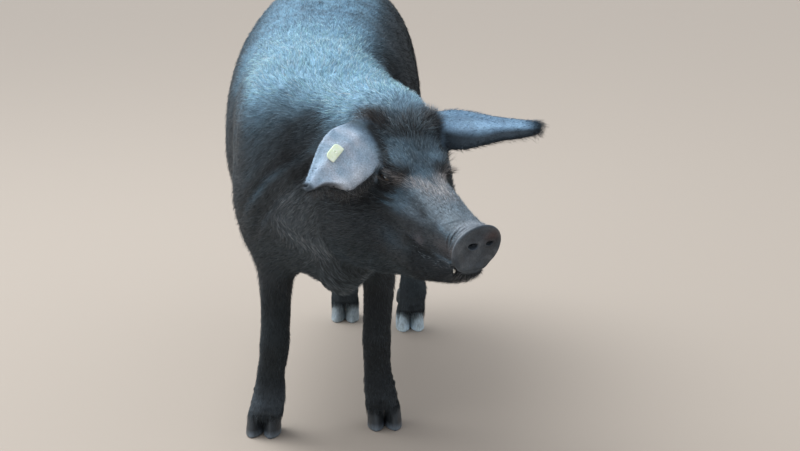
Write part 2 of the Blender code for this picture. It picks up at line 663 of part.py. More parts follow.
def build():
    for o in list(bpy.data.objects):
        drop(o)
    hide = paint("hide_slate", (0.045, 0.048, 0.055), 0.55)
    hide_low = paint("hide_dark", (0.030, 0.031, 0.035), 0.6)
    muzzle = paint("muzzle_grey", (0.080, 0.070, 0.072), 0.45)
    leaf = paint("ear_grey", (0.110, 0.108, 0.120), 0.6)
    horn = paint("horn_grey", (0.140, 0.135, 0.130), 0.4)
    wet = paint("eye_dark", (0.012, 0.009, 0.008), 0.08)
    yellow = paint("tag_yellow", (0.75, 0.68, 0.22), 0.4)

    V, Q = polygonise(lambda P: flesh(P, tail=False), (-0.344, -0.564, -0.030), (0.42, 0.98, 0.80), 0.0085)
    trunk = solid("trunk", V, Q, hide)
    apply_modifier(trunk, "DECIMATE", ratio=FLESH_TRIANGLES / (2.0 * len(Q)))
    nodes = {}

    # eyes, each in a socket of its own
    for s in ("left", "right"):
        socket = sphere("socket", EYE[s], EYE_RADIUS + 0.0004)
        cut(trunk, socket)
        drop(socket)
        nodes["eye_" + s] = sphere("eye_" + s, EYE[s], EYE_RADIUS, wet)

    # ears, trimmed where they meet the head
    fat = grown(trunk, 0.0007)
    for s in ("left", "right"):
        ear = ear_solid("ear_" + s, s, leaf)
        cut(ear, fat)
        nodes["ear_" + s] = ear
    nodes["tail"] = tail_solid("tail", hide_low)
    cut(nodes["tail"], fat)
    drop(fat)

    # head, snout, neck, tail
    head = part_off(trunk, "head", head_point(0.292, 0, 0), frame_of(HEAD_YAW, -7.5), (-0.30, 0.0, -0.30), (0.30, 0.40, 0.30), hide)
    nodes["snout"] = part_off(head, "snout", SNOUT, HEAD, (-0.10, -0.0525, -0.0482), (0.10, 0.10, 0.10), muzzle)
    nodes["head"] = head
    nodes["neck"] = part_off(trunk, "neck", (0.0, -0.025, 0.515), frame_of(14.0, -19.4), (-0.40, 0.0, -0.40), (0.40, 0.60, 0.40), hide)

    # legs: an upper and a lower piece each
    for name, st in LEGS.items():
        hand = 1 if name.endswith("left") else -1
        fx, fy = FEET[name][0]
        top, joint, ahead = (0.2745, 0.168, 0.078) if name.startswith("fore") else (0.302, 0.216, 0.088)
        mx = float(st["side"](top))
        inner = 0.046 if name.startswith("fore") else (0.100 if hand < 0 else 0.075)
        lo_x, hi_x = (mx - inner, mx + 0.12) if hand > 0 else (mx - 0.12, mx + inner)
        my = float(st["height"](top))
        lo, hi = (lo_x, my - ahead, -0.05), (hi_x, my + 0.17, top)
        whole = part_off(trunk, name + "_upper", (0, 0, 0), np.eye(3), lo, hi, hide_low)
        nodes[name + "_lower"] = part_off(whole, name + "_lower", (0, 0, 0), np.eye(3), (lo_x - 0.04, my - 0.20, -0.05), (hi_x + 0.04, my + 0.20, joint), hide_low)
        nodes[name + "_upper"] = whole

    # feet: two claws and two dewclaws each
    for name, (foot, yaw) in FEET.items():
        f = frame_of(yaw, 0.0)
        tilt = math.atan(CORONET_SLOPE)
        fwd = f[1] * math.cos(tilt) + np.array([0, 0, math.sin(tilt)])
        axes = np.array([f[0], fwd, np.cross(f[0], fwd) * -1.0])
        if axes[2][2] < 0:
            axes[2] = -axes[2]
        bar = block("bar", (foot[0], foot[1], CORONET + GAP * 1.05), axes, (-0.08, -0.12, -0.12), (0.08, 0.12, 0.0))
        shank = nodes[name + "_lower"]
        cut(shank, bar)
        drop(bar)
        for hand, side in ((-1, "right"), (1, "left")):
            loops = [to_foot(l, foot, yaw) for l in claw_loops(name[:4], hand)]
            claw = rings(name + "_claw_" + side, loops, horn)
            outward(claw)
            nodes[claw.name] = claw
            loops = [to_foot(l, foot, yaw) for l in dewclaw_loops(hand)]
            dew = rings(name + "_dewclaw_" + side, loops, horn)
            outward(dew)
            fat = grown(dew, 0.0005)
            cut(shank, fat)
            drop(fat)
            nodes[dew.name] = dew

    # the ear tag: a plate with its pin in front, a button behind
    P, n, u, v = ear_sheet("right", 61, 41)
    i, j = TAG_AT
    at, up = P[i, j], n[i, j]
    h = float(ear_half(u[i, j], v[i, j]))
    long = unit(np.asarray(TAG_LONG) - (np.asarray(TAG_LONG) @ up) * up)
    wide = np.cross(up, long)
    ph = np.linspace(0, 2 * math.pi, 16, endpoint=False)
    corner = np.stack([np.sign(np.cos(ph)) * np.abs(np.cos(ph)) ** 0.5, np.sign(np.sin(ph)) * np.abs(np.sin(ph)) ** 0.5], -1)
    lay = lambda z, lx, wx: at + up * z + corner[:, :1] * lx * long + corner[:, 1:] * wx * wide
    disc = lambda z, r: at + up * z + r * np.cos(ph)[:, None] * long + r * np.sin(ph)[:, None] * wide
    lift = h + 0.0022
    plate = rings("ear_tag_front", [disc(-h - 0.0030, 0.0022), disc(lift, 0.0022), lay(lift, 0.0165, 0.0092), lay(lift + 0.0006, 0.0175, 0.0102),
                                    lay(lift + 0.0018, 0.0175, 0.0102), lay(lift + 0.0022, 0.0168, 0.0095)], yellow)
    outward(plate)
    nodes["ear_tag_front"] = plate
    button = rings("ear_tag_back", [disc(-h - 0.0060, 0.0070), disc(-h - 0.0056, 0.0080), disc(-h - 0.0038, 0.0080), disc(-h - 0.0034, 0.0070)], yellow)
    outward(button)
    nodes["ear_tag_back"] = button
    hole = rings("hole", [disc(-h - 0.010, 0.0026), disc(lift, 0.0026)], None)
    outward(hole)
    cut(nodes["ear_right"], hole)
    drop(hole)

    nodes["trunk"] = trunk
    total = 0
    for name, ob in nodes.items():
        tris, pieces = tidy(ob)
        total += tris
        print("node %-26s %5d triangles, %d piece(s)" % (name, tris, pieces))
    print("all", total)
    # the origin goes under the middle of the whole animal, on the floor
    co = np.concatenate([np.array([v.co[:] for v in ob.data.vertices]) for ob in nodes.values()])
    lo, hi = co.min(0), co.max(0)
    shift = -np.array([(lo[0] + hi[0]) / 2, (lo[1] + hi[1]) / 2, lo[2]])
    print("size", hi - lo, "shift", shift)
    for name, (foot, yaw) in FEET.items():
        print("sole", name, to_foot(claw_loops(name[:4], 1)[0], foot, yaw).mean(0) + shift)
    for ob in nodes.values():
        ob.data.transform(Matrix.Translation(shift))
        ob.data.update()


FLESH_TRIANGLES = 3450
TAG_AT = (37, 16)
TAG_LONG = (0.53, 0.78, 0.34)
build()
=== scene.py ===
import math
import time

import bmesh
import bpy
import numpy as np
from mathutils import Matrix, Vector


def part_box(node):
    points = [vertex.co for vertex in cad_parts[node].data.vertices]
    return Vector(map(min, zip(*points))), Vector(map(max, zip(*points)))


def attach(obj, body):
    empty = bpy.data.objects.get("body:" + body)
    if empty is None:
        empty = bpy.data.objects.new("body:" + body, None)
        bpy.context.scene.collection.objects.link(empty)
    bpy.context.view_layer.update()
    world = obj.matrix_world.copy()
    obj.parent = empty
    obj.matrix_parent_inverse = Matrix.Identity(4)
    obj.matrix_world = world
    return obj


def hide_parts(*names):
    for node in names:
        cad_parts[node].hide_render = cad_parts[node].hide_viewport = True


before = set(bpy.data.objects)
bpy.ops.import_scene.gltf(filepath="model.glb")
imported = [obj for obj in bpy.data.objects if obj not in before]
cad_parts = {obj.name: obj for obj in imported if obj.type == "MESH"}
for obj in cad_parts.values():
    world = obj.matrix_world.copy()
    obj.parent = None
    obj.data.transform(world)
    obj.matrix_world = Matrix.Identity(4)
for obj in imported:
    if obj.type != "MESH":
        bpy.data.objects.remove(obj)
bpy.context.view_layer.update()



# ---------------------------------------------------------------- sizes of the animal
# Metres. -Y is the way the trunk faces, +X is the animal's left, +Z is up, z = 0 is the floor.
# The sizes are laid out from a working origin on the floor between the fore feet.
TRUNK_END = 0.840                      # back of the buttocks
HEAD_YAW = 27.0                        # degrees the head is turned to its left
HEAD_PITCH = 9.0                       # degrees the head's long axis dips
SNOUT_AT = (0.265, -0.395, 0.464)      # middle of the snout disc
EYE_RADIUS = 0.0125
FORE_FEET = {"left": (0.117, 0.043), "right": (-0.102, 0.006)}
HIND_FEET = {"left": (0.166, 0.623), "right": (0.028, 0.685)}
GAP = 0.0003                           # between neighbouring solids


# ---------------------------------------------------------------- small tools
def unit(v):
    v = np.asarray(v, float)
    return v / np.linalg.norm(v)


def frame_of(yaw, pitch):
    """Rows: left, forward, up of something that faces -Y, turned to its left by yaw and dipped by pitch."""
    y, p = math.radians(yaw), math.radians(pitch)
    f = np.array([math.sin(y) * math.cos(p), -math.cos(y) * math.cos(p), -math.sin(p)])
    l = np.array([math.cos(y), math.sin(y), 0.0])
    return np.array([l, f, np.cross(f, l)])


class Curve:
    """A smooth, overshoot-free curve through (t, value) stations."""

    def __init__(self, ts, vs):
        ts, vs = np.asarray(ts, float), np.asarray(vs, float)
        h, d = np.diff(ts), np.diff(vs) / np.diff(ts)
        m = np.zeros(len(ts))
        m[0], m[-1] = d[0], d[-1]
        for i in range(1, len(ts) - 1):
            if d[i - 1] * d[i] > 0:
                a, b = 2 * h[i] + h[i - 1], h[i] + 2 * h[i - 1]
                m[i] = (a + b) / (a / d[i - 1] + b / d[i])
        self.t = np.linspace(ts[0], ts[-1], 500)
        k = np.clip(np.searchsorted(ts, self.t, side="right") - 1, 0, len(ts) - 2)
        s = (self.t - ts[k]) / h[k]
        self.v = ((2 * s**3 - 3 * s**2 + 1) * vs[k] + (s**3 - 2 * s**2 + s) * h[k] * m[k]
                  + (-2 * s**3 + 3 * s**2) * vs[k + 1] + (s**3 - s**2) * h[k] * m[k + 1])

    def __call__(self, t):
        return np.interp(t, self.t, self.v)


def smin(a, b, k):
    h = np.maximum(k - np.abs(a - b), 0.0) / k
    return np.minimum(a, b) - h * h * k * 0.25


def smax(a, b, k):
    return -smin(-a, -b, k)


def ball(P, c, r, axes=None):
    """Distance to an ellipsoid with radii r along the rows of axes."""
    q = P - np.asarray(c, float)
    if axes is not None:
        q = q @ np.asarray(axes).T
    r = np.asarray(r, float)
    k0 = np.sqrt(((q / r) ** 2).sum(1)) + 1e-9
    k1 = np.sqrt(((q / (r * r)) ** 2).sum(1)) + 1e-9
    return k0 * (k0 - 1.0) / k1


def rod(P, a, b, ra, rb):
    """Distance to a round bar from a to b whose radius runs from ra to rb."""
    a, b = np.asarray(a, float), np.asarray(b, float)
    d = b - a
    t = np.clip(((P - a) @ d) / (d @ d), 0, 1)
    return np.linalg.norm(P - a - t[:, None] * d, axis=1) - (ra + (rb - ra) * t)


def stations(rows, upper=2.25, lower=2.25):
    """Curves from rows of: along, middle side, middle height, half width, reach up, reach down."""
    rows = np.array(rows, float)
    st = {name: Curve(rows[:, 0], rows[:, i + 1]) for i, name in enumerate(("side", "height", "half", "up", "down"))}
    st["span"] = (rows[0, 0], rows[-1, 0])
    st["upper"], st["lower"] = upper, lower
    return st


def loft(side, along, up, st, ends=(0.05, 0.05)):
    """Distance to a body swept along one axis through its stations."""
    t0, t1 = st["span"]
    t = np.clip(along, t0, t1)
    a = side - st["side"](t)
    b = up - st["height"](t)
    w = st["half"](t)
    top = b > 0
    h = np.where(top, st["up"](t), st["down"](t))
    n = np.where(top, st["upper"], st["lower"])
    r = (np.abs(a / w) ** n + np.abs(b / h) ** n) ** (1.0 / n) + 1e-6
    length = np.sqrt(a * a + b * b) + 1e-9
    d = length - np.minimum(length / r, 1.0)
    d = smax(d, t0 - along, ends[0])
    return smax(d, along - t1, ends[1])


# ---------------------------------------------------------------- trunk, rows along y
#    y      side   height half   up     down
TRUNK = stations([
    (-0.125, 0.014, 0.455, 0.075, 0.085, 0.090),
    (-0.085, 0.012, 0.460, 0.110, 0.140, 0.130),
    (-0.030, 0.006, 0.468, 0.128, 0.190, 0.158),
    (0.050, 0.000, 0.478, 0.142, 0.214, 0.170),
    (0.150, -0.003, 0.478, 0.161, 0.232, 0.180),
    (0.280, -0.002, 0.474, 0.182, 0.254, 0.188),
    (0.400, 0.002, 0.474, 0.186, 0.268, 0.186),
    (0.520, 0.008, 0.480, 0.178, 0.270, 0.170),
    (0.620, 0.014, 0.486, 0.166, 0.254, 0.150),
    (0.710, 0.018, 0.488, 0.144, 0.212, 0.134),
    (0.790, 0.020, 0.484, 0.108, 0.150, 0.112),
    (0.840, 0.020, 0.478, 0.066, 0.090, 0.080),
], upper=2.45, lower=2.05)


# ---------------------------------------------------------------- legs, rows up z, the way back is their "up"
def leg(rows, foot):
    """Rows of: z, middle x and y from the foot, half width, reach back, reach forward."""
    return stations([(z, foot[0] + x, foot[1] + y, half, back, front) for z, x, y, half, back, front in rows])


LEGS = {
    "fore_right": leg([
        (0.015, 0.000, 0.000, 0.0315, 0.030, 0.036),
        (0.035, 0.003, 0.001, 0.0320, 0.031, 0.034),
        (0.055, 0.008, 0.004, 0.0315, 0.032, 0.032),
        (0.080, 0.012, 0.008, 0.0295, 0.031, 0.029),
        (0.115, 0.015, 0.008, 0.0265, 0.026, 0.025),
        (0.150, 0.021, 0.004, 0.0270, 0.028, 0.028),
        (0.180, 0.0235, 0.003, 0.0275, 0.032, 0.031),
        (0.225, 0.025, 0.008, 0.0285, 0.040, 0.032),
        (0.275, 0.026, 0.014, 0.0315, 0.052, 0.040),
        (0.330, 0.024, 0.022, 0.0390, 0.068, 0.052),
        (0.400, 0.020, 0.028, 0.0480, 0.080, 0.070),
        (0.470, 0.012, 0.034, 0.0520, 0.085, 0.080),
    ], FORE_FEET["right"]),
    "fore_left": leg([
        (0.015, 0.000, 0.000, 0.0315, 0.030, 0.036),
        (0.035, -0.003, 0.001, 0.0315, 0.031, 0.034),
        (0.055, -0.006, 0.004, 0.0305, 0.032, 0.032),
        (0.080, -0.010, 0.006, 0.0290, 0.031, 0.029),
        (0.115, -0.013, 0.004, 0.0260, 0.026, 0.025),
        (0.150, -0.014, -0.004, 0.0260, 0.028, 0.028),
        (0.180, -0.014, -0.008, 0.0265, 0.032, 0.031),
        (0.225, -0.012, -0.006, 0.0280, 0.040, 0.032),
        (0.275, -0.010, 0.000, 0.0310, 0.052, 0.040),
        (0.330, -0.014, 0.008, 0.0390, 0.068, 0.052),
        (0.400, -0.022, 0.016, 0.0480, 0.080, 0.070),
        (0.470, -0.030, 0.024, 0.0520, 0.085, 0.080),
    ], FORE_FEET["left"]),
    "hind_right": leg([
        (0.015, 0.000, 0.000, 0.0300, 0.028, 0.034),
        (0.035, 0.000, 0.002, 0.0300, 0.029, 0.032),
        (0.055, -0.001, 0.006, 0.0290, 0.029, 0.029),
        (0.082, -0.004, 0.014, 0.0290, 0.028, 0.027),
        (0.120, -0.012, 0.026, 0.0240, 0.025, 0.024),
        (0.160, -0.020, 0.036, 0.0250, 0.028, 0.026),
        (0.200, -0.030, 0.044, 0.0300, 0.036, 0.031),
        (0.240, -0.042, 0.036, 0.0350, 0.044, 0.042),
        (0.290, -0.058, 0.010, 0.0500, 0.066, 0.066),
        (0.350, -0.074, -0.018, 0.0660, 0.095, 0.092),
        (0.420, -0.090, -0.030, 0.0760, 0.115, 0.112),
        (0.500, -0.098, -0.030, 0.0740, 0.115, 0.110),
    ], HIND_FEET["right"]),
    "hind_left": leg([
        (0.015, 0.000, 0.000, 0.0300, 0.028, 0.034),
        (0.035, 0.001, 0.002, 0.0300, 0.029, 0.032),
        (0.055, 0.003, 0.006, 0.0295, 0.029, 0.029),
        (0.082, 0.006, 0.014, 0.0300, 0.028, 0.027),
        (0.120, 0.003, 0.028, 0.0240, 0.025, 0.024),
        (0.160, -0.002, 0.040, 0.0250, 0.028, 0.026),
        (0.200, -0.008, 0.050, 0.0300, 0.036, 0.031),
        (0.240, -0.016, 0.044, 0.0350, 0.044, 0.042),
        (0.290, -0.028, 0.020, 0.0500, 0.066, 0.066),
        (0.350, -0.040, 0.004, 0.0660, 0.095, 0.092),
        (0.420, -0.050, 0.004, 0.0760, 0.115, 0.112),
        (0.500, -0.060, 0.012, 0.0740, 0.115, 0.110),
    ], HIND_FEET["left"]),
}

# ---------------------------------------------------------------- head, rows back from the snout disc
HEAD = frame_of(HEAD_YAW, HEAD_PITCH)
SNOUT = np.array(SNOUT_AT)


def head_point(back, left, up):
    """A point `back` from the snout disc's middle, to the head's left and above its long axis."""
    return SNOUT - back * HEAD[1] + left * HEAD[0] + up * HEAD[2]


def head_coords(P):
    q = (P - SNOUT) @ HEAD.T
    return q[:, 0], -q[:, 1], q[:, 2]


SKULL = stations([
    (0.000, 0.002, -0.006, 0.0445, 0.0400, 0.0400),
    (0.014, 0.002, -0.006, 0.0415, 0.0380, 0.0380),
    (0.030, 0.001, -0.005, 0.0375, 0.0355, 0.0360),
    (0.060, 0.0, -0.006, 0.0385, 0.0395, 0.0400),
    (0.090, 0.0, -0.010, 0.0425, 0.0465, 0.0440),
    (0.127, 0.0, -0.012, 0.0500, 0.0540, 0.0500),
    (0.160, 0.0, -0.012, 0.0535, 0.0590, 0.0640),
    (0.186, 0.0, -0.012, 0.0565, 0.0660, 0.0780),
    (0.214, 0.0, -0.012, 0.0640, 0.0830, 0.0920),
    (0.240, 0.0, -0.010, 0.0725, 0.1030, 0.1020),
    (0.276, 0.0, -0.008, 0.0800, 0.1300, 0.1120),
    (0.310, 0.0, -0.006, 0.0890, 0.1410, 0.1200),
    (0.350, 0.0, -0.004, 0.1000, 0.1380, 0.1250),
], upper=2.05, lower=2.2)
JAW = stations([
    (0.014, 0.0, -0.051, 0.026, 0.018, 0.012),
    (0.045, 0.0, -0.058, 0.034, 0.028, 0.023),
    (0.090, 0.0, -0.067, 0.041, 0.040, 0.033),
    (0.147, 0.0, -0.072, 0.052, 0.050, 0.051),
    (0.200, 0.0, -0.070, 0.064, 0.060, 0.065),
    (0.270, 0.0, -0.062, 0.090, 0.080, 0.084),
    (0.330, 0.0, -0.050, 0.102, 0.100, 0.100),
])
EYE = {"left": head_point(0.2137, 0.0500, 0.0384), "right": head_point(0.2137, -0.0515, 0.0384)}

# ---------------------------------------------------------------- neck, rows from between the shoulders to behind the ears
NECK_ROOT = np.array([0.000, 0.060, 0.500])
NECK_AXIS = unit(head_point(0.270, 0.0, 0.0) - NECK_ROOT)
NECK_LEFT = unit(np.cross((0, 0, 1.0), NECK_AXIS))
NECK_UP = np.cross(NECK_AXIS, NECK_LEFT)
NECK = stations([
    (-0.020, 0.0, 0.0, 0.138, 0.190, 0.170),
    (0.080, 0.0, 0.0, 0.130, 0.178, 0.166),
    (0.160, 0.0, 0.0, 0.118, 0.168, 0.156),
    (0.240, 0.0, 0.0, 0.106, 0.154, 0.148),
    (0.300, 0.0, 0.0, 0.098, 0.130, 0.138),
])

# ---------------------------------------------------------------- ears: a leaf, as a curved sheet
EARS = {
    "right": dict(base=head_point(0.2788, -0.0440, 0.1060), along=(-0.57, -0.77, -0.30), root=(0.65, -0.216, -0.729), tip=(0.65, -0.216, -0.729),
                  length=0.196, droop=0.017, cup=0.009, bow=0.0108,
                  hind=([0.0, 0.10, 0.28, 0.38, 0.48, 0.57, 0.66, 0.76, 0.85, 0.92, 0.97, 1.0], [0.024, 0.029, 0.037, 0.0405, 0.0390, 0.0345, 0.0290, 0.0225, 0.0165, 0.0120, 0.0080, 0.0035]),
                  front=([0.0, 0.10, 0.22, 0.35, 0.50, 0.62, 0.70, 0.76, 0.82, 0.90, 0.97, 1.0], [0.026, 0.036, 0.049, 0.0570, 0.0580, 0.0565, 0.0480, 0.0320, 0.0180, 0.0100, 0.0055, 0.0030])),
    "left": dict(base=head_point(0.2788, 0.0540, 0.1000), along=(0.97, -0.06, 0.03), root=(-0.10, -0.82, -0.80), tip=(0.0, -0.99, -0.16),
                 length=0.184, droop=0.011, cup=0.014, bow=0.0,
                 hind=([0.0, 0.12, 0.30, 0.50, 0.70, 0.86, 0.95, 1.0], [0.025, 0.033, 0.040, 0.043, 0.039, 0.031, 0.021, 0.008]),
                 front=([0.0, 0.12, 0.30, 0.50, 0.70, 0.86, 0.95, 1.0], [0.029, 0.040, 0.052, 0.055, 0.048, 0.036, 0.024, 0.008])),
}
for _ear in EARS.values():
    _ear["hind"], _ear["front"] = Curve(*_ear["hind"]), Curve(*_ear["front"])


def ear_sheet(side, nu, nv):
    """Points and normals of the ear's middle sheet, (nu, nv, 3): base to tip, hind edge to front edge."""
    e = EARS[side]
    D = unit(e["along"])
    u = np.linspace(-0.12, 1.0, nu)[:, None] + np.zeros((1, nv))
    v = np.linspace(-1, 1, nv)[None, :] + np.zeros((nu, 1))
    uu = np.clip(u, 0, 1)
    turn = np.clip(u, 0, 0.7) / 0.7                             # the leaf turns flatter from root to tip
    turn = (turn * turn * (3 - 2 * turn))[..., None]
    W = (1 - turn) * unit(e["root"]) + turn * unit(e["tip"])
    W = W - (W @ D)[..., None] * D
    W /= np.linalg.norm(W, axis=-1, keepdims=True)
    N = np.cross(D, W)
    N *= np.sign(N[..., 2:3].mean())
    x = ear_bow(e, uu) + np.where(v < 0, e["hind"](uu), e["front"](uu)) * v
    lift = -e["droop"] * uu**2.2 - e["cup"] * (1.25 - 0.85 * uu) * np.abs(v) ** 2.2
    P = e["base"] + (e["length"] * u)[..., None] * D + x[..., None] * W + lift[..., None] * N
    du, dv = np.gradient(P, axis=0), np.gradient(P, axis=1)
    n = np.cross(du, dv)
    n /= np.linalg.norm(n, axis=-1, keepdims=True)
    if (n * N).sum(-1).mean() < 0:
        n = -n
    return P, n, u, v


def ear_bow(e, u):
    """How far the ear's midline bends towards its front edge."""
    t = np.clip((u - 0.55) / 0.45, 0, 1)
    return e["bow"] * t * t * (3 - 2 * t)


def ear_half(u, v):
    """Half the thickness of the ear, coat included."""
    return 0.0044 * (1 - 0.40 * np.abs(v) ** 2) * (1 - 0.30 * np.clip(u, 0, 1)) + 0.030 * np.clip(0.10 - u, 0, 1)


# ---------------------------------------------------------------- tail: hangs from the rump
def tail_point(s):
    """The tail's midline, s from 0 at its root to 1 at its tip."""
    y = TRUNK_END - 0.050 + 0.082 * np.sin(np.minimum(s * 3.0, 1.0) * math.pi / 2) - 0.008 * s
    x = 0.020 + 0.022 * np.sin(s * 4.2) * s
    z = 0.592 - 0.010 * np.minimum(s * 3.0, 1.0) - 0.235 * np.maximum(s - 0.12, 0)**1.15
    return np.stack([x, y, z], axis=-1)


def tail_radius(s):
    return 0.0110 * (1 - s) ** 0.9 + 0.0060 + 0.020 * np.clip(0.15 - s, 0, 1)


# ---------------------------------------------------------------- the whole flesh, as one distance field
def head_field(P):
    a, t, b = head_coords(P)
    w = 1.0 / (1.0 + (np.maximum(t, 0) / 0.045) ** 2)      # the disc faces a little down and to its left
    h = loft(a, t - (0.110 * a - 0.187 * b) * w, b, SKULL, ends=(0.010, 0.10))
    h = smin(h, loft(a, t, b, JAW, ends=(0.014, 0.10)), 0.014)
    for s in (-1, 1):
        h = smin(h, ball(P, head_point(0.303, 0.062 * s, -0.048), (0.038, 0.058, 0.062), HEAD), 0.04)   # jowl
        h = smin(h, ball(P, head_point(0.224, 0.036 * s, 0.058), (0.020, 0.032, 0.016), HEAD), 0.03)    # brow
    return h


def flesh(P, tail=True):
    """Distance to the animal's outer surface, coat included, negative inside."""
    x, y, z = P[:, 0], P[:, 1], P[:, 2]
    d = loft(x, y, z, TRUNK, ends=(0.11, 0.16))
    for s in (-1, 1):
        d = smin(d, ball(P, (0.080 * s, 0.050, 0.520), (0.044, 0.095, 0.125)), 0.05)                    # shoulder
        d = smin(d, ball(P, (0.080 * s + 0.018, 0.665, 0.500), (0.064, 0.125, 0.150)), 0.05)            # ham
    q = P - NECK_ROOT
    d = smin(d, loft(q @ NECK_LEFT, q @ NECK_AXIS, q @ NECK_UP, NECK, ends=(0.05, 0.10)), 0.05)
    d = smin(d, ball(P, (0.046, -0.035, 0.360), (0.050, 0.080, 0.084)), 0.045)                          # brisket
    d = smin(d, head_field(P), 0.045)
    for st in LEGS.values():
        d = smin(d, loft(x, z, y, st, ends=(0.010, 0.08)), 0.05)
    if not tail:
        return d
    s = np.linspace(0, 1, 13)
    pts, rad = tail_point(s), tail_radius(s)
    near = np.nonzero((y > TRUNK_END - 0.12) & (np.abs(x) < 0.15))[0]
    if len(near):
        Q = P[near]
        g = rod(Q, pts[0], pts[1], rad[0], rad[1])
        for i in range(1, 12):
            g = np.minimum(g, rod(Q, pts[i], pts[i + 1], rad[i], rad[i + 1]))
        d[near] = smin(d[near], g, 0.025)
    return d


def polygonise(f, lo, hi, step, block=14, keep=1.25):
    """A closed quad mesh of f = 0 (surface nets), evaluated only near the surface."""
    lo = np.asarray(lo, float)
    n = (np.ceil((np.asarray(hi) - lo) / step / block) * block).astype(int)
    nb = n // block
    cb = [(np.arange(m) + 0.5) * block * step + o for m, o in zip(nb, lo)]
    C = np.stack(np.meshgrid(*cb, indexing="ij"), -1).reshape(-1, 3)
    fc = f(C)
    V = np.where(fc > 0, 1.0, -1.0).reshape(nb).astype(np.float32)
    V = np.repeat(np.repeat(np.repeat(V, block, 0), block, 1), block, 2)
    live = np.nonzero(np.abs(fc) < block * step * 0.87 * keep)[0]
    r = np.arange(block)
    L = np.stack(np.meshgrid(r, r, r, indexing="ij"), -1).reshape(-1, 3)
    ib = np.stack(np.unravel_index(live, nb), -1) * block
    for s in range(0, len(live), 120):
        I = (ib[s:s + 120, None, :] + L[None]).reshape(-1, 3)
        V[I[:, 0], I[:, 1], I[:, 2]] = f(lo + I * step)
    S = V < 0
    cells = np.zeros(tuple(n - 1), np.int8)
    off = [(i, j, k) for i in (0, 1) for j in (0, 1) for k in (0, 1)]
    for i, j, k in off:
        cells += S[i:n[0] - 1 + i, j:n[1] - 1 + j, k:n[2] - 1 + k]
    act = np.argwhere((cells > 0) & (cells < 8))
    number = np.full(tuple(n - 1), -1, np.int32)
    number[tuple(act.T)] = np.arange(len(act))
    F = [V[act[:, 0] + i, act[:, 1] + j, act[:, 2] + k] for i, j, k in off]
    pos, cnt = np.zeros((len(act), 3)), np.zeros(len(act))
    for p in range(8):
        for q in range(p + 1, 8):
            d = np.array(off[q]) - np.array(off[p])
            if np.abs(d).sum() != 1:
                continue
            cross = (F[p] < 0) != (F[q] < 0)
            t = F[p][cross] / (F[p][cross] - F[q][cross])
            pos[cross] += np.array(off[p]) + t[:, None] * d
            cnt[cross] += 1
    verts = lo + (act + pos / cnt[:, None]) * step
    quads = []
    for ax in range(3):
        b1, b2 = (ax + 1) % 3, (ax + 2) % 3
        A = S[tuple(slice(0, -1) if k == ax else slice(None) for k in range(3))]
        B = S[tuple(slice(1, None) if k == ax else slice(None) for k in range(3))]
        e = np.argwhere(A != B)
        e = e[(e[:, b1] > 0) & (e[:, b2] > 0) & (e[:, b1] < n[b1] - 1) & (e[:, b2] < n[b2] - 1)]
        flip = A[tuple(e.T)]
        q = []
        for o1, o2 in ((-1, -1), (0, -1), (0, 0), (-1, 0)):
            c = e.copy()
            c[:, b1] += o1
            c[:, b2] += o2
            q.append(number[tuple(c.T)])
        q = np.stack(q, 1)
        q[~flip] = q[~flip][:, ::-1]
        quads.append(q)
    return verts, np.concatenate(quads)


SHIFT = np.mean(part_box("eye_left"), axis=0) - EYE["left"]


def soft(x, a, b):
    """0 below a, 1 above b, smooth between; a may be above b."""
    t = np.clip((x - a) / (b - a), 0, 1)
    return t * t * (3 - 2 * t)


def bell(x, width):
    return np.exp(-(x / width) ** 2)


def to_path(a, t, b, path, twist=None):
    """Distance to a polyline given in the head's own coordinates, and how far along it the nearest point is, 0 to 1."""
    P = np.stack([a, t, b], -1)
    K = np.asarray(path, float)
    best = np.full(len(P), 1e9)
    along = np.zeros(len(P))
    n = len(K) - 1
    for i in range(n):
        d = K[i + 1] - K[i]
        s = np.clip(((P - K[i]) @ d) / (d @ d), 0, 1)
        r = np.linalg.norm(P - K[i] - s[:, None] * d, axis=1)
        near = r < best
        best = np.where(near, r, best)
        along = np.where(near, (i + s) / n, along)
    return best, along


# ---------------------------------------------------------------- ears as a field
def ear_coords(P, side):
    """u from root to tip, v across (-1 hind edge, 1 front edge), height over the middle sheet, width there, slope of the sheet."""
    e = EARS[side]
    D = unit(e["along"])
    q = P - e["base"]
    u = (q @ D) / e["length"]
    uu = np.clip(u, 0, 1)
    turn = np.clip(u, 0, 0.7) / 0.7
    turn = (turn * turn * (3 - 2 * turn))[:, None]
    W = (1 - turn) * unit(e["root"]) + turn * unit(e["tip"])
    W = W - (W @ D)[:, None] * D
    W /= np.linalg.norm(W, axis=1, keepdims=True)
    N = np.cross(D, W)
    N *= np.sign(np.cross(D, unit(e["tip"]))[2])
    x = (q * W).sum(1) - ear_bow(e, uu)
    w = np.where(x < 0, e["hind"](uu), e["front"](uu))
    v = x / w
    va = np.abs(v)
    cup = e["cup"] * (1.25 - 0.85 * uu)
    lift = -e["droop"] * uu ** 2.2 - cup * np.where(va < 1, va ** 2.2, 1 + 2.2 * (va - 1))
    slope = 2.2 * cup * np.minimum(va, 1) ** 1.2 / w
    if side == "right":
        lift = lift + ear_folds(u, v)
    z = (q * N).sum(1) - lift
    return u, v, z / np.sqrt(1 + np.minimum(slope, 1.5) ** 2), w, slope


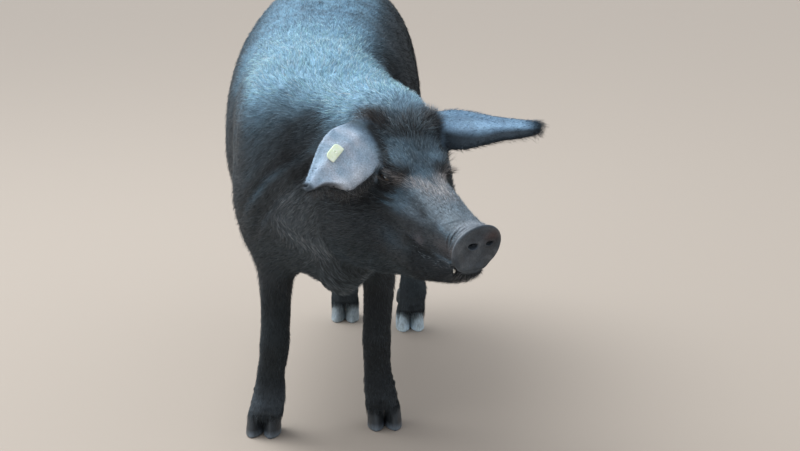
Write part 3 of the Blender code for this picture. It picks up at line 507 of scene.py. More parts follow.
def ear_folds(u, v):
    """Soft folds of the near ear: a low ridge along its middle, a hollow in front of it, and a wavy rim at its end."""
    f = 0.0016 * bell(v + 0.15 + 0.3 * (u - 0.5), 0.20) * soft(u, 0.05, 0.35) * soft(u, 0.95, 0.65)
    f = f - 0.0022 * bell(v - 0.30, 0.26) * soft(u, 0.1, 0.40) * soft(u, 0.95, 0.65)
    f = f + 0.0030 * bell(v - 0.80, 0.20) * soft(u, 0.40, 0.65) * soft(u, 0.95, 0.8)
    f = f - 0.0030 * bell(v + 0.75, 0.25) * soft(u, 0.45, 0.75) * soft(u, 1.0, 0.9)
    return f


def ear_field(P, side):
    """Distance to the skin of one ear."""
    e = EARS[side]
    u, v, z, w, slope = ear_coords(P, side)
    uu = np.clip(u, 0, 1)
    va = np.abs(v)
    h = 0.0032 * (1 - 0.14 * np.minimum(va, 1) ** 2) * (1 - 0.12 * uu) + 0.030 * np.clip(0.10 - u, 0, 1)
    tilt_h = np.interp(uu, e["hind"].t, np.gradient(e["hind"].v, e["hind"].t)) / e["length"]
    tilt_f = np.interp(uu, e["front"].t, np.gradient(e["front"].v, e["front"].t)) / e["length"]
    s = np.where(v < 0, tilt_h, tilt_f)
    side_out = (va - 1) * w * np.sqrt(1 + np.minimum(slope, 1.5) ** 2) / np.sqrt(1 + s * s) + h
    end_out = np.maximum((u - 1.0) * e["length"] + h, (-0.12 - u) * e["length"] + h)
    out = smax(side_out, end_out, 0.004)
    return np.sqrt(z * z + np.maximum(out, 0) ** 2) - h


# ---------------------------------------------------------------- the face's own forms
def nostril(a, b, s):
    """Size of a point's distance from one nostril's middle, 1 at its edge: an oval that leans outward."""
    x, y = (a - 0.0085) - s * (0.0150 if s < 0 else 0.0165), b - 0.0005
    c, k = math.cos(math.radians(8)), math.sin(math.radians(8)) * s
    x, y = x * c + y * k, -x * k + y * c
    return np.sqrt((x / (0.0092 if s < 0 else 0.0060)) ** 2 + (y / (np.where(y > 0, 0.0042, 0.0056) * (1.0 if s < 0 else 0.70))) ** 2)


def disc_place(a, t, b):
    """Depth behind the snout disc's slanted plane, and distance from its middle, 1 at the rim."""
    w = 1.0 / (1.0 + (np.maximum(t, 0) / 0.045) ** 2)
    back = t - (0.110 * a - 0.187 * b) * w
    rho = np.sqrt(((a - 0.002) / 0.0445) ** 2 + ((b + 0.006) / 0.040) ** 2)
    return back, rho


LIP = [(0.0, 0.004, -0.0495), (0.012, 0.008, -0.0490), (0.024, 0.018, -0.0455), (0.0330, 0.034, -0.0425), (0.0350, 0.060, -0.0465), (0.0370, 0.085, -0.0470), (0.0400, 0.108, -0.0440), (0.0435, 0.126, -0.0400), (0.0455, 0.138, -0.0365)]
BROW_LINES = [
    [(0.040, 0.246, 0.063), (0.050, 0.232, 0.060), (0.055, 0.214, 0.055), (0.052, 0.198, 0.047)],
    [(0.034, 0.240, 0.076), (0.046, 0.226, 0.072), (0.052, 0.208, 0.066), (0.050, 0.190, 0.055)],
    [(0.058, 0.232, 0.024), (0.057, 0.216, 0.017), (0.054, 0.198, 0.016), (0.050, 0.182, 0.022)],
    [(0.064, 0.236, 0.014), (0.062, 0.214, 0.004), (0.058, 0.192, 0.004), (0.053, 0.174, 0.012)],
]


def eye_axes(s):
    """Rows of one eye: along the slit towards the snout, out of the eye, and up the face."""
    out = unit(np.array([0.86 * s, 0.0, 0.0]) @ np.eye(3) + np.array([0, -0.34, 0.22]))      # in head coordinates a, t, b
    fwd = np.array([0.0, -1.0, -0.12])
    fwd = unit(fwd - (fwd @ out) * out)
    return np.array([fwd, out, np.cross(fwd, out) * -s])


EYE_AT = {1: np.array([0.0500, 0.2137, 0.0384]), -1: np.array([-0.0515, 0.2137, 0.0384])}


def face(a, t, b, d):
    """The head's finer forms on top of its plain field d."""
    back, rho = disc_place(a, t, b)
    front = soft(t, 0.075, 0.055)
    # the disc: a raised rim, a hollow face, nostrils, a groove behind the rim, and rings of wrinkles behind that
    curl = bell(np.arctan2(b + 0.006, a - 0.002) - 0.80, 0.75)           # the rim curls over at its upper left corner
    disc = (bell(back - 0.004, 0.0045) * bell(rho - 1.0, 0.15) * (0.0020 + 0.0022 * curl)
            - (0.0016 + 0.0010 * curl) * soft(rho, 0.86, 0.55) * soft(back, 0.012, 0.004))
    disc = disc - 0.0020 * bell(back - 0.0135, 0.0032) * soft(rho, 0.70, 0.85) * soft(t, 0.03, 0.02)
    up = soft(b, -0.034, 0.002) * (0.16 + 0.84 * soft(np.abs(a), 0.006, 0.024))
    for k, (at, deep) in enumerate(((0.0200, 0.0020), (0.0245, 0.0017), (0.0300, 0.0015), (0.0385, 0.0008))):
        lean = 0.10 * b + 0.0050 * np.sin(44 * a + 1.7 * k)
        part = up * soft(rho, 0.55, 0.75) * (0.55 + 0.45 * np.sin(70 * b + 55 * a + 2.1 * k))
        disc = disc - deep * bell(back - at - lean * (k + 1) * 0.25, 0.0016) * part
        disc = disc + 0.8 * deep * bell(back - at - 0.0027 - lean * (k + 1) * 0.25, 0.0014) * part
    d = d - disc * front
    # a notch under the disc
    d = d + 0.0016 * bell(a - 0.004, 0.006) * soft(b, -0.030, -0.042) * soft(t, 0.016, 0.006)
    for s in (-1, 1):
        r = nostril(a, b, s)
        ring = (0.0014 + 0.0012 * soft(b, 0.0, -0.006)) * bell(r - 1.30, 0.28) * soft(back, 0.012, 0.004)
        d = d - ring * front
        hole = smax((r - 1.0) * 0.0056, back - 0.024, 0.004)
        d = smax(d, -hole, 0.0022)
    # the flat bone line and the fold on top of the snout
    for k in (-1, 1):
        r, s = to_path(a * k, t, b, [(0.0335, 0.0520, 0.0180), (0.0250, 0.0440, 0.0255), (0.0150, 0.0370, 0.0300), (0.0060, 0.0330, 0.0315)])
        d = d + 0.0030 * bell(r, 0.0024) * np.sin(math.pi * np.clip(s, 0.02, 0.98)) ** 0.5
        r, s = to_path(a * k, t - 0.0052, b + 0.0010, [(0.0335, 0.0520, 0.0180), (0.0250, 0.0440, 0.0255), (0.0150, 0.0370, 0.0300), (0.0060, 0.0330, 0.0315)])
        d = d - 0.0014 * bell(r, 0.0030) * np.sin(math.pi * np.clip(s, 0.02, 0.98)) ** 0.5
    # mouth: a line with the upper lip hanging over the lower one, and a hollow at its corner
    al = np.abs(a)
    r, s = to_path(al, t, b, LIP)
    deep = 0.0034 * (0.6 + 0.4 * s) * (1 - 0.55 * soft(t, 0.030, 0.050) * soft(t, 0.112, 0.090))
    d = d + deep * bell(r, 0.0030)
    r2, _ = to_path(al, t, b + 0.0 - 0.0065, LIP)
    d = d - 0.0018 * bell(r2, 0.0055) * (1 - 0.55 * soft(t, 0.030, 0.050) * soft(t, 0.112, 0.090))
    r3, _ = to_path(al, t, b, [(0.0420, 0.118, -0.0420), (0.0450, 0.136, -0.0372)])
    d = d + 0.0030 * bell(r3, 0.0050)
    r4, _ = to_path(al, t, b, [(0.0390, 0.098, -0.0300), (0.0440, 0.112, -0.0310), (0.0480, 0.126, -0.0290)])
    d = d - 0.0022 * bell(r4, 0.0070)
    r4, _ = to_path(al, t, b, [(0.0470, 0.146, -0.0270), (0.0480, 0.150, -0.0360), (0.0460, 0.148, -0.0460)])
    d = d - 0.0016 * bell(r4, 0.0060)
    # cheekbone, the hollow before the eye, the long muscle that lifts the snout
    r, _ = to_path(al, t, b, [(0.062, 0.250, 0.002), (0.059, 0.215, -0.006), (0.055, 0.180, -0.010), (0.050, 0.150, -0.012)])
    d = d - 0.0030 * bell(r, 0.016)
    r, _ = to_path(al, t, b, [(0.046, 0.180, 0.022), (0.042, 0.150, 0.016), (0.038, 0.110, 0.008)])
    d = d + 0.0026 * bell(r, 0.011)
    r, _ = to_path(al, t, b, [(0.030, 0.150, 0.032), (0.030, 0.100, 0.020), (0.030, 0.060, 0.010), (0.028, 0.035, 0.008)])
    d = d - 0.0018 * bell(r, 0.010)
    # folds above, behind and below the eyes
    for k, line in enumerate(BROW_LINES):
        r, s = to_path(al, t, b, line)
        d = d + (0.0024, 0.0018, 0.0020, 0.0014)[k] * bell(r, 0.0030) * np.sin(math.pi * np.clip(s, 0.03, 0.97)) ** 0.6
        d = d - (0.0014, 0.0010, 0.0012, 0.0008)[k] * bell(r - 0.0060, 0.0034) * np.sin(math.pi * np.clip(s, 0.03, 0.97)) ** 0.6
    # shallow cross wrinkles between the eyes
    wave = np.sin((t - 0.12) / 0.0095 * 2 * math.pi + 1.6 * np.sin(60 * a) + 1.2 * np.sin(95 * t)) * (0.5 + 0.5 * np.sin(130 * t + 40 * a))
    d = d - 0.00030 * wave * bell(a, 0.026) * soft(t, 0.125, 0.15) * soft(t, 0.215, 0.185) * soft(b, 0.0, 0.02)
    return d


def lids(a, t, b, d):
    """Eyelids: the skin runs over each eyeball as a thin shell and parts along an almond slit."""
    Q = np.stack([a, t, b], -1)
    for s in (-1, 1):
        q = (Q - EYE_AT[s]) @ eye_axes(s).T
        r = np.linalg.norm(q, axis=1)
        near = r < 0.030
        if not near.any():
            continue
        x, o, y = q[near, 0], q[near, 1], q[near, 2]
        rr = r[near]
        dn = d[near]
        # a shallow hollow round the ball, deeper towards the snout
        dn = dn + 0.0030 * bell(rr - 0.0195, 0.0050) * soft(o, 0.0, 0.006)
        shell = rr - (EYE_RADIUS + 0.0016)
        dn = smin(dn, shell, 0.006)
        # the fold above the upper lid
        dn = dn + 0.0012 * bell(y - 0.0098 + 5.0 * x * x, 0.0014) * soft(o, 0.0, 0.005) * bell(x, 0.013)
        # almond: 19 mm long, 8 mm high, its upper edge straighter
        half = 0.0108
        k = np.clip(1 - (x / half) ** 2, 0, 1)
        top, low = 0.0034 * k ** 0.60, -0.0030 * k ** 0.85
        gap = np.maximum(np.maximum(y - top, low - y), np.abs(x) - half)
        gap = np.maximum(gap, -(o - 0.0020))
        pit = smax(gap, (EYE_RADIUS - 0.0025) - rr, 0.0008)
        dn = smax(dn, -pit, 0.0012)
        d = d.copy()
        d[near] = dn
    return d


def body_folds(P, d):
    """Forms under and in the skin of neck, trunk and legs."""
    x, y, z = P[:, 0], P[:, 1], P[:, 2]
    # shoulder blade ridge, the hollow behind the elbow, and the stifle fold, on both sides
    for s in (-1, 1):
        xs = (x - 0.002) * s
        r, k = to_path(xs, y, z, [(0.060, 0.135, 0.660), (0.120, 0.080, 0.560), (0.128, 0.020, 0.450), (0.118, 0.000, 0.370)])
        d = d - 0.0055 * bell(r, 0.030)
        r, k = to_path(xs, y, z, [(0.125, 0.190, 0.620), (0.165, 0.160, 0.500), (0.155, 0.125, 0.390), (0.120, 0.110, 0.320)])
        d = d + 0.0060 * bell(r, 0.028)
        r, k = to_path(xs, y, z, [(0.135, 0.085, 0.330), (0.120, 0.075, 0.295)])
        d = d + 0.0020 * bell(r, 0.006)
        r, k = to_path(xs, y, z, [(0.160, 0.480, 0.420), (0.150, 0.545, 0.340), (0.130, 0.575, 0.290)])
        d = d - 0.0060 * bell(r, 0.026)
        r, k = to_path(xs, y, z, [(0.168, 0.420, 0.480), (0.172, 0.500, 0.400), (0.150, 0.540, 0.320)])
        d = d + 0.0040 * bell(r, 0.020)
        # ribs, barely there under the fat
        d = d - 0.0009 * np.sin((y + 0.30 * (z - 0.45)) / 0.042 * 2 * math.pi) * soft(xs, 0.12, 0.15) * soft(y, 0.17, 0.22) * soft(y, 0.48, 0.42) * soft(z, 0.60, 0.52) * soft(z, 0.34, 0.40)
    # spine: a soft furrow along the loin
    d = d + 0.0030 * bell(x - 0.006, 0.016) * soft(z, 0.58, 0.64) * soft(y, 0.22, 0.40)
    # neck: folds that wrap the throat and side behind the jowl
    a, t, b = head_coords(P)
    for k, (off, deep) in enumerate(((0.0, 0.0034), (0.036, 0.0016))):
        sheet = (t - 0.356 - off) + 0.55 * (b + 0.05) - 0.9 * np.abs(a) ** 1.6
        g = bell(sheet, 0.0085) - 0.55 * bell(sheet - 0.018, 0.012)
        d = d + deep * g * soft(b, 0.055, -0.01) * soft(z, 0.36, 0.42) * soft(y, 0.06, -0.04)
    return d


def leg_forms(P, d):
    """Tendons, knee and hock bones, and the creases of each joint."""
    z = P[:, 2]
    low = z < 0.34
    if not low.any():
        return d
    d = d.copy()
    Q, dl, zz = P[low], d[low], z[low]
    for name, st in LEGS.items():
        cx, cy = st["side"](zz), st["height"](zz)
        u, v = Q[:, 0] - cx, Q[:, 1] - cy                 # v runs backward
        near = soft(np.sqrt(u * u + v * v), 0.085, 0.060)
        ang = np.arctan2(v, u)
        if name.startswith("fore"):
            knee, band = 0.172, 0.020
            dl = dl - near * 0.0022 * bell(zz - knee, band) * soft(-v, -0.006, 0.012)
            dl = dl - near * 0.0020 * bell(zz - (knee - 0.006), 0.012) * soft(v, 0.008, 0.020)          # the small bone behind the knee
            dl = dl + near * 0.0018 * bell(zz - (knee + 0.026), 0.004) * soft(v, -0.01, 0.01)
            for k, off in enumerate((-0.014, 0.0, 0.013)):
                dl = dl + near * 0.0008 * bell(zz - knee - off + 0.10 * u * (k - 1), 0.0026) * soft(-v, -0.004, 0.012)
            dl = dl + near * 0.0020 * bell(np.abs(u) - 0.019, 0.006) * soft(v, 0.004, 0.016) * soft(zz, 0.075, 0.095) * soft(zz, 0.155, 0.135)
        else:
            hock = 0.205
            dl = dl - near * 0.0050 * bell(zz - hock - 0.004, 0.016) * soft(v, 0.010, 0.028)            # point of the hock
            dl = dl + near * 0.0040 * bell(np.abs(u) - 0.021, 0.008) * bell(zz - hock - 0.040, 0.026) * soft(v, 0.004, 0.02)
            dl = dl + near * 0.0020 * bell(np.abs(u) - 0.018, 0.006) * soft(v, 0.004, 0.016) * soft(zz, 0.085, 0.10) * soft(zz, 0.185, 0.165)
            for k, off in enumerate((-0.012, 0.004)):
                dl = dl + near * 0.0009 * bell(zz - hock + 0.010 - off, 0.003) * soft(-v, -0.004, 0.012)
        # fetlock: rings above the claws, a cleft between the toes in front
        for k, h in enumerate((0.060, 0.071, 0.082)):
            dl = dl + near * (0.0011, 0.0013, 0.0010)[k] * bell(zz - h - 0.12 * v, 0.0026)
            dl = dl - near * (0.0008, 0.0009, 0.0006)[k] * bell(zz - h - 0.0052 - 0.12 * v, 0.0030)
        dl = dl + near * 0.0050 * bell(u - 0.0, 0.0055) * soft(zz, 0.066, 0.046) * soft(-v, 0.004, 0.020)
        dl = dl + near * 0.0036 * bell(u - 0.0, 0.0055) * soft(zz, 0.060, 0.044) * soft(v, 0.006, 0.020)
    d[low] = dl
    return d


def coat_depth(P, a, t, b):
    """How far the skin lies inside the outline of the coat."""
    z = P[:, 2]
    deep = 0.0038 + 0 * t
    head = 0.0010 + 0.0012 * soft(t, 0.03, 0.14) + 0.0016 * soft(t, 0.22, 0.36)
    deep = np.where(t < 0.40, head, deep) if False else head + (0.0038 - head) * soft(t, 0.30, 0.42)
    deep = deep * (1 - soft(z, 0.30, 0.14)) + 0.0021 * soft(z, 0.30, 0.14)
    deep = deep * (1 - soft(z, 0.10, 0.05)) + 0.0010 * soft(z, 0.10, 0.05)
    back, rho = disc_place(a, t, b)
    return deep * soft(back, 0.004, 0.016) + 0.0002


def skin_field(P, fine=True):
    """Distance to the skin."""
    a, t, b = head_coords(P)
    d = flesh(P) + coat_depth(P, a, t, b)
    d = body_folds(P, d)
    d = leg_forms(P, d)
    near = np.nonzero((t < 0.36) & (np.abs(a) < 0.35) & (np.abs(b) < 0.35))[0]
    if len(near):
        N, dn = P[near], d[near]
        an, tn, bn = a[near], t[near], b[near]
        dn = np.where(tn < 0.34, face(an, tn, bn, dn), dn) if fine else dn
        for side in ("left", "right"):
            e = ear_field(N, side)
            dn = smin(dn, e, 0.016)
        if fine:
            dn = lids(an, tn, bn, dn)
        d[near] = dn
    return d


FEET = {
    "fore_left": (FORE_FEET["left"], 6.0), "fore_right": (FORE_FEET["right"], -8.0),
    "hind_left": (HIND_FEET["left"], 6.0), "hind_right": (HIND_FEET["right"], -4.0),
}
CORONET, CORONET_SLOPE = 0.039, 0.20


def above_coronets(P, d):
    """The skin ends where the horn begins."""
    low = P[:, 2] < 0.10
    if not low.any():
        return d
    d = d.copy()
    Q, dl = P[low], d[low]
    for foot, yaw in FEET.values():
        f = frame_of(yaw, 0.0)
        q = Q[:, :2] - np.asarray(foot)
        fwd, left = q @ f[1][:2], q @ f[0][:2]
        mine = (np.abs(fwd) < 0.07) & (np.abs(left) < 0.06)
        plane = (CORONET - 0.0010 + CORONET_SLOPE * fwd) - Q[:, 2]
        dl = np.where(mine, smax(dl, plane, 0.0035), dl)
    d[low] = dl
    return d


def surface(P):
    return above_coronets(P, skin_field(P))


def slope_of(f, P, h=0.0004):
    """Unit gradient of a field."""
    g = np.empty_like(P)
    for k in range(3):
        e = np.zeros(3)
        e[k] = h
        g[:, k] = f(P + e) - f(P - e)
    return g / (np.linalg.norm(g, axis=1, keepdims=True) + 1e-12), np.linalg.norm(g, axis=1) / (2 * h)


def settle(f, P, rounds=2, most=0.004):
    """Move points onto f = 0."""
    P = P.copy()
    for _ in range(rounds):
        d = f(P)
        n, size = slope_of(f, P)
        P -= n * np.clip(d / np.maximum(size, 0.4), -most, most)[:, None]
    return P


# ---------------------------------------------------------------- the skin's mesh: fine on the head, coarser behind a cut round the neck
CUT_AT = head_point(0.338, 0.0, 0.0)
CUT_ALONG = frame_of(25.0, -16.0)[1]


def object_from(name, V, F):
    me = bpy.data.meshes.new(name)
    me.from_pydata([tuple(v) for v in V.tolist()], [], F if isinstance(F, list) else F.tolist())
    me.update()
    ob = bpy.data.objects.new(name, me)
    bpy.context.scene.collection.objects.link(ob)
    return ob


def half_skin(step, block, lo, hi, sign, off):
    """One side of the cut, as a bmesh with one open loop."""
    V, Q = polygonise(surface, lo, hi, step, block)
    s = (V - CUT_AT) @ CUT_ALONG * sign
    keep = (s[Q] > off - 0.02).all(1)
    Q = Q[keep]
    used = np.zeros(len(V), bool)
    used[Q.ravel()] = True
    number = np.cumsum(used) - 1
    V, Q = V[used], number[Q]
    me = bpy.data.meshes.new("half")
    me.vertices.add(len(V))
    me.vertices.foreach_set("co", V.astype(np.float32).ravel())
    me.loops.add(4 * len(Q))
    me.loops.foreach_set("vertex_index", Q.astype(np.int32).ravel())
    me.polygons.add(len(Q))
    me.polygons.foreach_set("loop_start", np.arange(0, 4 * len(Q), 4, dtype=np.int32))
    me.update()
    bm = bmesh.new()
    bm.from_mesh(me)
    bpy.data.meshes.remove(me)
    bmesh.ops.bisect_plane(bm, geom=bm.verts[:] + bm.edges[:] + bm.faces[:], dist=1e-6, plane_co=CUT_AT + CUT_ALONG * sign * off,
                           plane_no=CUT_ALONG * sign, clear_inner=True)
    return bm


def open_loop(bm):
    edges = [e for e in bm.edges if e.is_boundary]
    nxt = {}
    for e in edges:
        a, b = e.verts
        nxt.setdefault(a, []).append(b)
        nxt.setdefault(b, []).append(a)
    loops, seen = [], set()
    for v in nxt:
        if v in seen:
            continue
        loop, prev, cur = [], None, v
        while cur not in seen:
            seen.add(cur)
            loop.append(cur)
            step = [w for w in nxt[cur] if w is not prev]
            prev, cur = cur, step[0]
        loops.append(loop)
    loops.sort(key=len, reverse=True)
    return loops


def join_halves(a, b):
    """Zip the two open loops together by their angle round the neck."""
    me = bpy.data.meshes.new("b")
    b.to_mesh(me)
    a.from_mesh(me)
    bpy.data.meshes.remove(me)
    loops = open_loop(a)
    print("open loops", [len(l) for l in loops])
    e1 = unit(np.cross(CUT_ALONG, (0, 0, 1.0)))
    e2 = np.cross(CUT_ALONG, e1)
    co = [np.array([v.co[:] for v in l]) for l in loops[:2]]
    mid = co[0].mean(0)
    ang = [np.arctan2((c - mid) @ e2, (c - mid) @ e1) for c in co]
    out = []
    for l, g in zip(loops[:2], ang):
        if np.sum(np.sin(np.diff(np.append(g, g[0])))) < 0:
            l, g = l[::-1], g[::-1]
        k = int(np.argmin(g))
        l, g = l[k:] + l[:k], np.concatenate([g[k:], g[:k]])
        out.append((l, np.append(g, g[0] + 2 * math.pi)))
    (la, ga), (lb, gb) = out
    i = j = 0
    na, nb = len(la), len(lb)
    made = []
    while i < na or j < nb:
        if j >= nb or (i < na and ga[i + 1] <= gb[j + 1]):
            made.append((la[i % na], la[(i + 1) % na], lb[j % nb]))
            i += 1
        else:
            made.append((la[i % na], lb[(j + 1) % nb], lb[j % nb]))
            j += 1
    for f in made:
        if len(set(f)) == 3:
            try:
                a.faces.new(f)
            except ValueError:
                pass
    return a


def refine(bm, wanted):
    """Halve the edges of every face whose middle is wanted."""
    faces = bm.faces[:]
    mids = np.array([f.calc_center_median()[:] for f in faces])
    pick = wanted(mids)
    edges = {e for f, p in zip(faces, pick) if p for e in f.edges}
    bmesh.ops.subdivide_edges(bm, edges=list(edges), cuts=1, use_grid_fill=True)


def drop_crumbs(bm, fewest=200):
    """Take away loose crumbs that the grid left beside the animal."""
    left, crumbs = set(bm.verts), []
    while left:
        part = [left.pop()]
        stack = list(part)
        while stack:
            v = stack.pop()
            for e in v.link_edges:
                w = e.other_vert(v)
                if w in left:
                    left.remove(w)
                    part.append(w)
                    stack.append(w)
        if len(part) < fewest:
            crumbs += part
    if crumbs:
        bmesh.ops.delete(bm, geom=crumbs, context="VERTS")
    print("crumbs", len(crumbs))


def make_skin():
    head = half_skin(0.00305, 8, (-0.17, -0.56, 0.25), (0.39, 0.02, 0.80), 1.0, 0.003)
    body = half_skin(0.0071, 10, (-0.34, -0.30, 0.0), (0.36, 0.98, 0.80), -1.0, 0.003)
    bm = join_halves(head, body)
    body.free()
    drop_crumbs(bm)
    bmesh.ops.recalc_face_normals(bm, faces=bm.faces)

    def at_snout(M):
        a, t, b = head_coords(M)
        return (t < 0.052) & (np.abs(a) < 0.07) & (b > -0.065)

    def at_eyes(M):
        a, t, b = head_coords(M)
        Q = np.stack([a, t, b], -1)
        return (np.linalg.norm(Q - EYE_AT[1], axis=1) < 0.030) | (np.linalg.norm(Q - EYE_AT[-1], axis=1) < 0.030)

    def at_slits(M):
        a, t, b = head_coords(M)
        Q = np.stack([a, t, b], -1)
        return (np.linalg.norm(Q - EYE_AT[1], axis=1) < 0.0185) | (np.linalg.norm(Q - EYE_AT[-1], axis=1) < 0.0185)

    def read():
        return np.array([v.co[:] for v in bm.verts])

    def write(C):
        for v, c in zip(bm.verts, C.tolist()):
            v.co = c

    write(settle(surface, read(), 1))
    refine(bm, lambda M: at_snout(M) | at_eyes(M))
    refine(bm, at_slits)
    write(settle(surface, read(), 2, 0.003))
    bmesh.ops.triangulate(bm, faces=bm.faces, quad_method="BEAUTY", ngon_method="BEAUTY")
    bm.normal_update()
    if bm.calc_volume(signed=True) < 0:
        bmesh.ops.reverse_faces(bm, faces=bm.faces)
    me = bpy.data.meshes.new("skin")
    bm.to_mesh(me)
    bm.free()
    me.shade_smooth()
    ob = bpy.data.objects.new("skin", me)
    bpy.context.scene.collection.objects.link(ob)
    print("skin", len(me.vertices), "points", len(me.polygons), "triangles")
    return ob


def place(ob):
    """From the working origin to the frame's."""
    ob.data.transform(Matrix.Translation([float(c) for c in SHIFT]))
    ob.data.update()
    return ob


# ---------------------------------------------------------------- places on the animal, shared by skin and coat
def wobble(P, scale, seed, octaves=2):
    """Smooth noise, about -1 to 1, from sums of turned sine waves."""
    rng = np.random.default_rng(seed)
    out = np.zeros(len(P))
    amp = 1.0
    for o in range(octaves):
        for _ in range(5):
            k = rng.normal(size=3)
            k *= (2 * math.pi / scale) * (0.7 + 0.6 * rng.random()) / np.linalg.norm(k)
            out += amp * np.sin(P @ k + rng.random() * 6.283) * 0.42
        scale *= 0.47
        amp *= 0.55
    return out


TAIL_S = np.linspace(0, 1, 41)
TAIL_LINE = tail_point(TAIL_S)


def places(P, n):
    """Where on the animal each point is: head coordinates and soft masks."""
    a, t, b = head_coords(P)
    x, y, z = P.T
    m = dict(a=a, t=t, b=b, x=x, y=y, z=z, n=n)
    back, rho = disc_place(a, t, b)
    m["disc"] = soft(back, 0.0085, 0.0045) * soft(rho, 1.25, 1.10)
    m["rim"] = soft(back, 0.024, 0.012) * (1 - m["disc"])
    ear = np.zeros(len(P))
    ear_u, ear_v, ear_side, ear_top, ear_h, ear_back = (np.zeros(len(P)) for _ in range(6))
    i = np.nonzero((t < 0.36) & (np.abs(a) < 0.35))[0]
    for k, side in ((1, "left"), (-1, "right")):
        if not len(i):
            continue
        u, v, h, w, _ = ear_coords(P[i], side)
        e = EARS[side]
        N = np.cross(unit(e["along"]), unit(e["tip"]))
        N = N * np.sign(N[2])
        on = soft(np.abs(h), 0.015, 0.008) * soft(np.abs(v), 1.34, 1.10) * soft(u, 0.02, 0.16) * (u < 1.12)
        Q = np.stack([a[i], t[i], b[i]], -1)
        on = on * soft(np.linalg.norm(Q - EYE_AT[k], axis=1), 0.016, 0.026)
        hit = on > ear[i]
        j = i[hit]
        ear[j] = on[hit]
        ear_u[j], ear_v[j], ear_side[j], ear_h[j] = u[hit], v[hit], k, h[hit]
        ear_top[j] = np.sign(n[j] @ N)
        ear_back[j] = soft(n[j] @ N, -0.55, -0.20)
    m["ear"], m["ear_u"], m["ear_v"], m["ear_side"], m["ear_top"] = ear, ear_u, ear_v, ear_side, ear_top
    m["ear_back"] = ear_back
    m["edge"] = ear * np.maximum(soft(np.abs(ear_v), 0.82, 0.97), soft(ear_u, 0.90, 0.98))
    rest = 1 - ear
    m["head"] = soft(t, 0.36, 0.27) * rest
    m["face"] = soft(t, 0.20, 0.10) * rest
    m["snout"] = soft(t, 0.085, 0.045) * rest
    m["leg"] = soft(z, 0.31, 0.23) * (t > 0.30)
    m["foot"] = soft(z, 0.11, 0.06) * (t > 0.30)
    tail, tail_s = np.zeros(len(P)), np.zeros(len(P))
    i = np.nonzero((y > TRUNK_END - 0.06) & (np.abs(x - 0.02) < 0.09) & (z < 0.66))[0]
    if len(i):
        d = np.linalg.norm(P[i, None, :] - TAIL_LINE[None], axis=-1)
        k = d.argmin(1)
        dist = d[np.arange(len(i)), k]
        tail[i], tail_s[i] = soft(dist, 0.030, 0.022) * (TAIL_S[k] > 0.16), TAIL_S[k]
    m["tail"], m["tail_s"] = tail, tail_s
    up = n[:, 2]
    m["up"] = up
    m["crest"] = soft(up, 0.15, 0.70) * soft(t - 0.027 * soft(np.abs(a), 0.020, 0.055), 0.251, 0.284) * soft(y, 0.30, 0.08) * rest
    m["poll"] = soft(b, 0.086, 0.102) * bell(t - 0.243 - 0.025 * soft(np.abs(a), 0.015, 0.050), 0.021) * soft(np.abs(a), 0.085, 0.060) * rest
    m["temple"] = bell(a + 0.064, 0.022) * bell(t - 0.279, 0.024) * bell(b - 0.112, 0.020)
    m["throat"] = soft(up, -0.1, -0.6) * soft(t, 0.02, 0.06) * soft(y, 0.06, 0.0)
    m["belly"] = soft(up, -0.35, -0.8) * soft(y, 0.10, 0.18) * (z > 0.27)
    m["chin"] = soft(up, 0.15, -0.45) * soft(t, 0.15, 0.05) * soft(b, -0.030, -0.046) * (1 - m["disc"])
    m["jowl"] = soft(t, 0.17, 0.24) * soft(t, 0.42, 0.34) * soft(b, 0.03, -0.02) * rest
    m["chest"] = soft(y, 0.02, -0.05) * soft(z, 0.50, 0.42) * soft(t, 0.30, 0.34) * soft(z, 0.26, 0.30)
    Q = np.stack([a, t, b], -1)
    m["eye"] = np.minimum(np.linalg.norm(Q - EYE_AT[1], axis=1), np.linalg.norm(Q - EYE_AT[-1], axis=1))
    # the pale streak of bristles from over each eye, forward and in to the bridge of the snout
    r, s = to_path(np.abs(a), t, b, [(0.0560, 0.2120, 0.0525), (0.0450, 0.1970, 0.0435), (0.0310, 0.1790, 0.0400), (0.0170, 0.1580, 0.0425), (0.0090, 0.1320, 0.0400), (0.0040, 0.1060, 0.0365)])
    m["streak"] = bell(r, 0.006 + 0.010 * s) * (0.50 + 0.50 * soft(s, 0.2, 0.6)) * (1 - 0.5 * soft(s, 0.85, 1.0)) * rest
    r, s = to_path(np.abs(a), t, b, [(0.118, 0.300, -0.022), (0.104, 0.266, -0.010), (0.086, 0.238, -0.006), (0.070, 0.218, 0.004)])
    m["shade"] = bell(r, 0.026) * rest
    r, s = to_path(x, y, z, [(-0.062, -0.098, 0.425), (-0.043, -0.103, 0.407), (-0.025, -0.108, 0.395), (-0.008, -0.113, 0.387), (0.009, -0.118, 0.376)])
    m["arcs"] = bell(r, 0.021)
    r, s = to_path(x, y, z, [(-0.034, -0.120, 0.470), (-0.036, -0.108, 0.425), (-0.010, -0.113, 0.395)])
    m["pale_neck"] = bell(r, 0.038) * soft(n[:, 0], 0.3, -0.1)
    m["coronet"] = soft(z, 0.066, 0.050) * (t > 0.30)
    # painted shade in the gap between the forehead and the front root of each ear
    r, s = to_path(np.abs(a), t, b, [(0.062, 0.267, 0.107), (0.058, 0.259, 0.100), (0.054, 0.246, 0.088), (0.052, 0.234, 0.079), (0.055, 0.221, 0.068)])
    m["gap"] = bell(r, 0.0085)
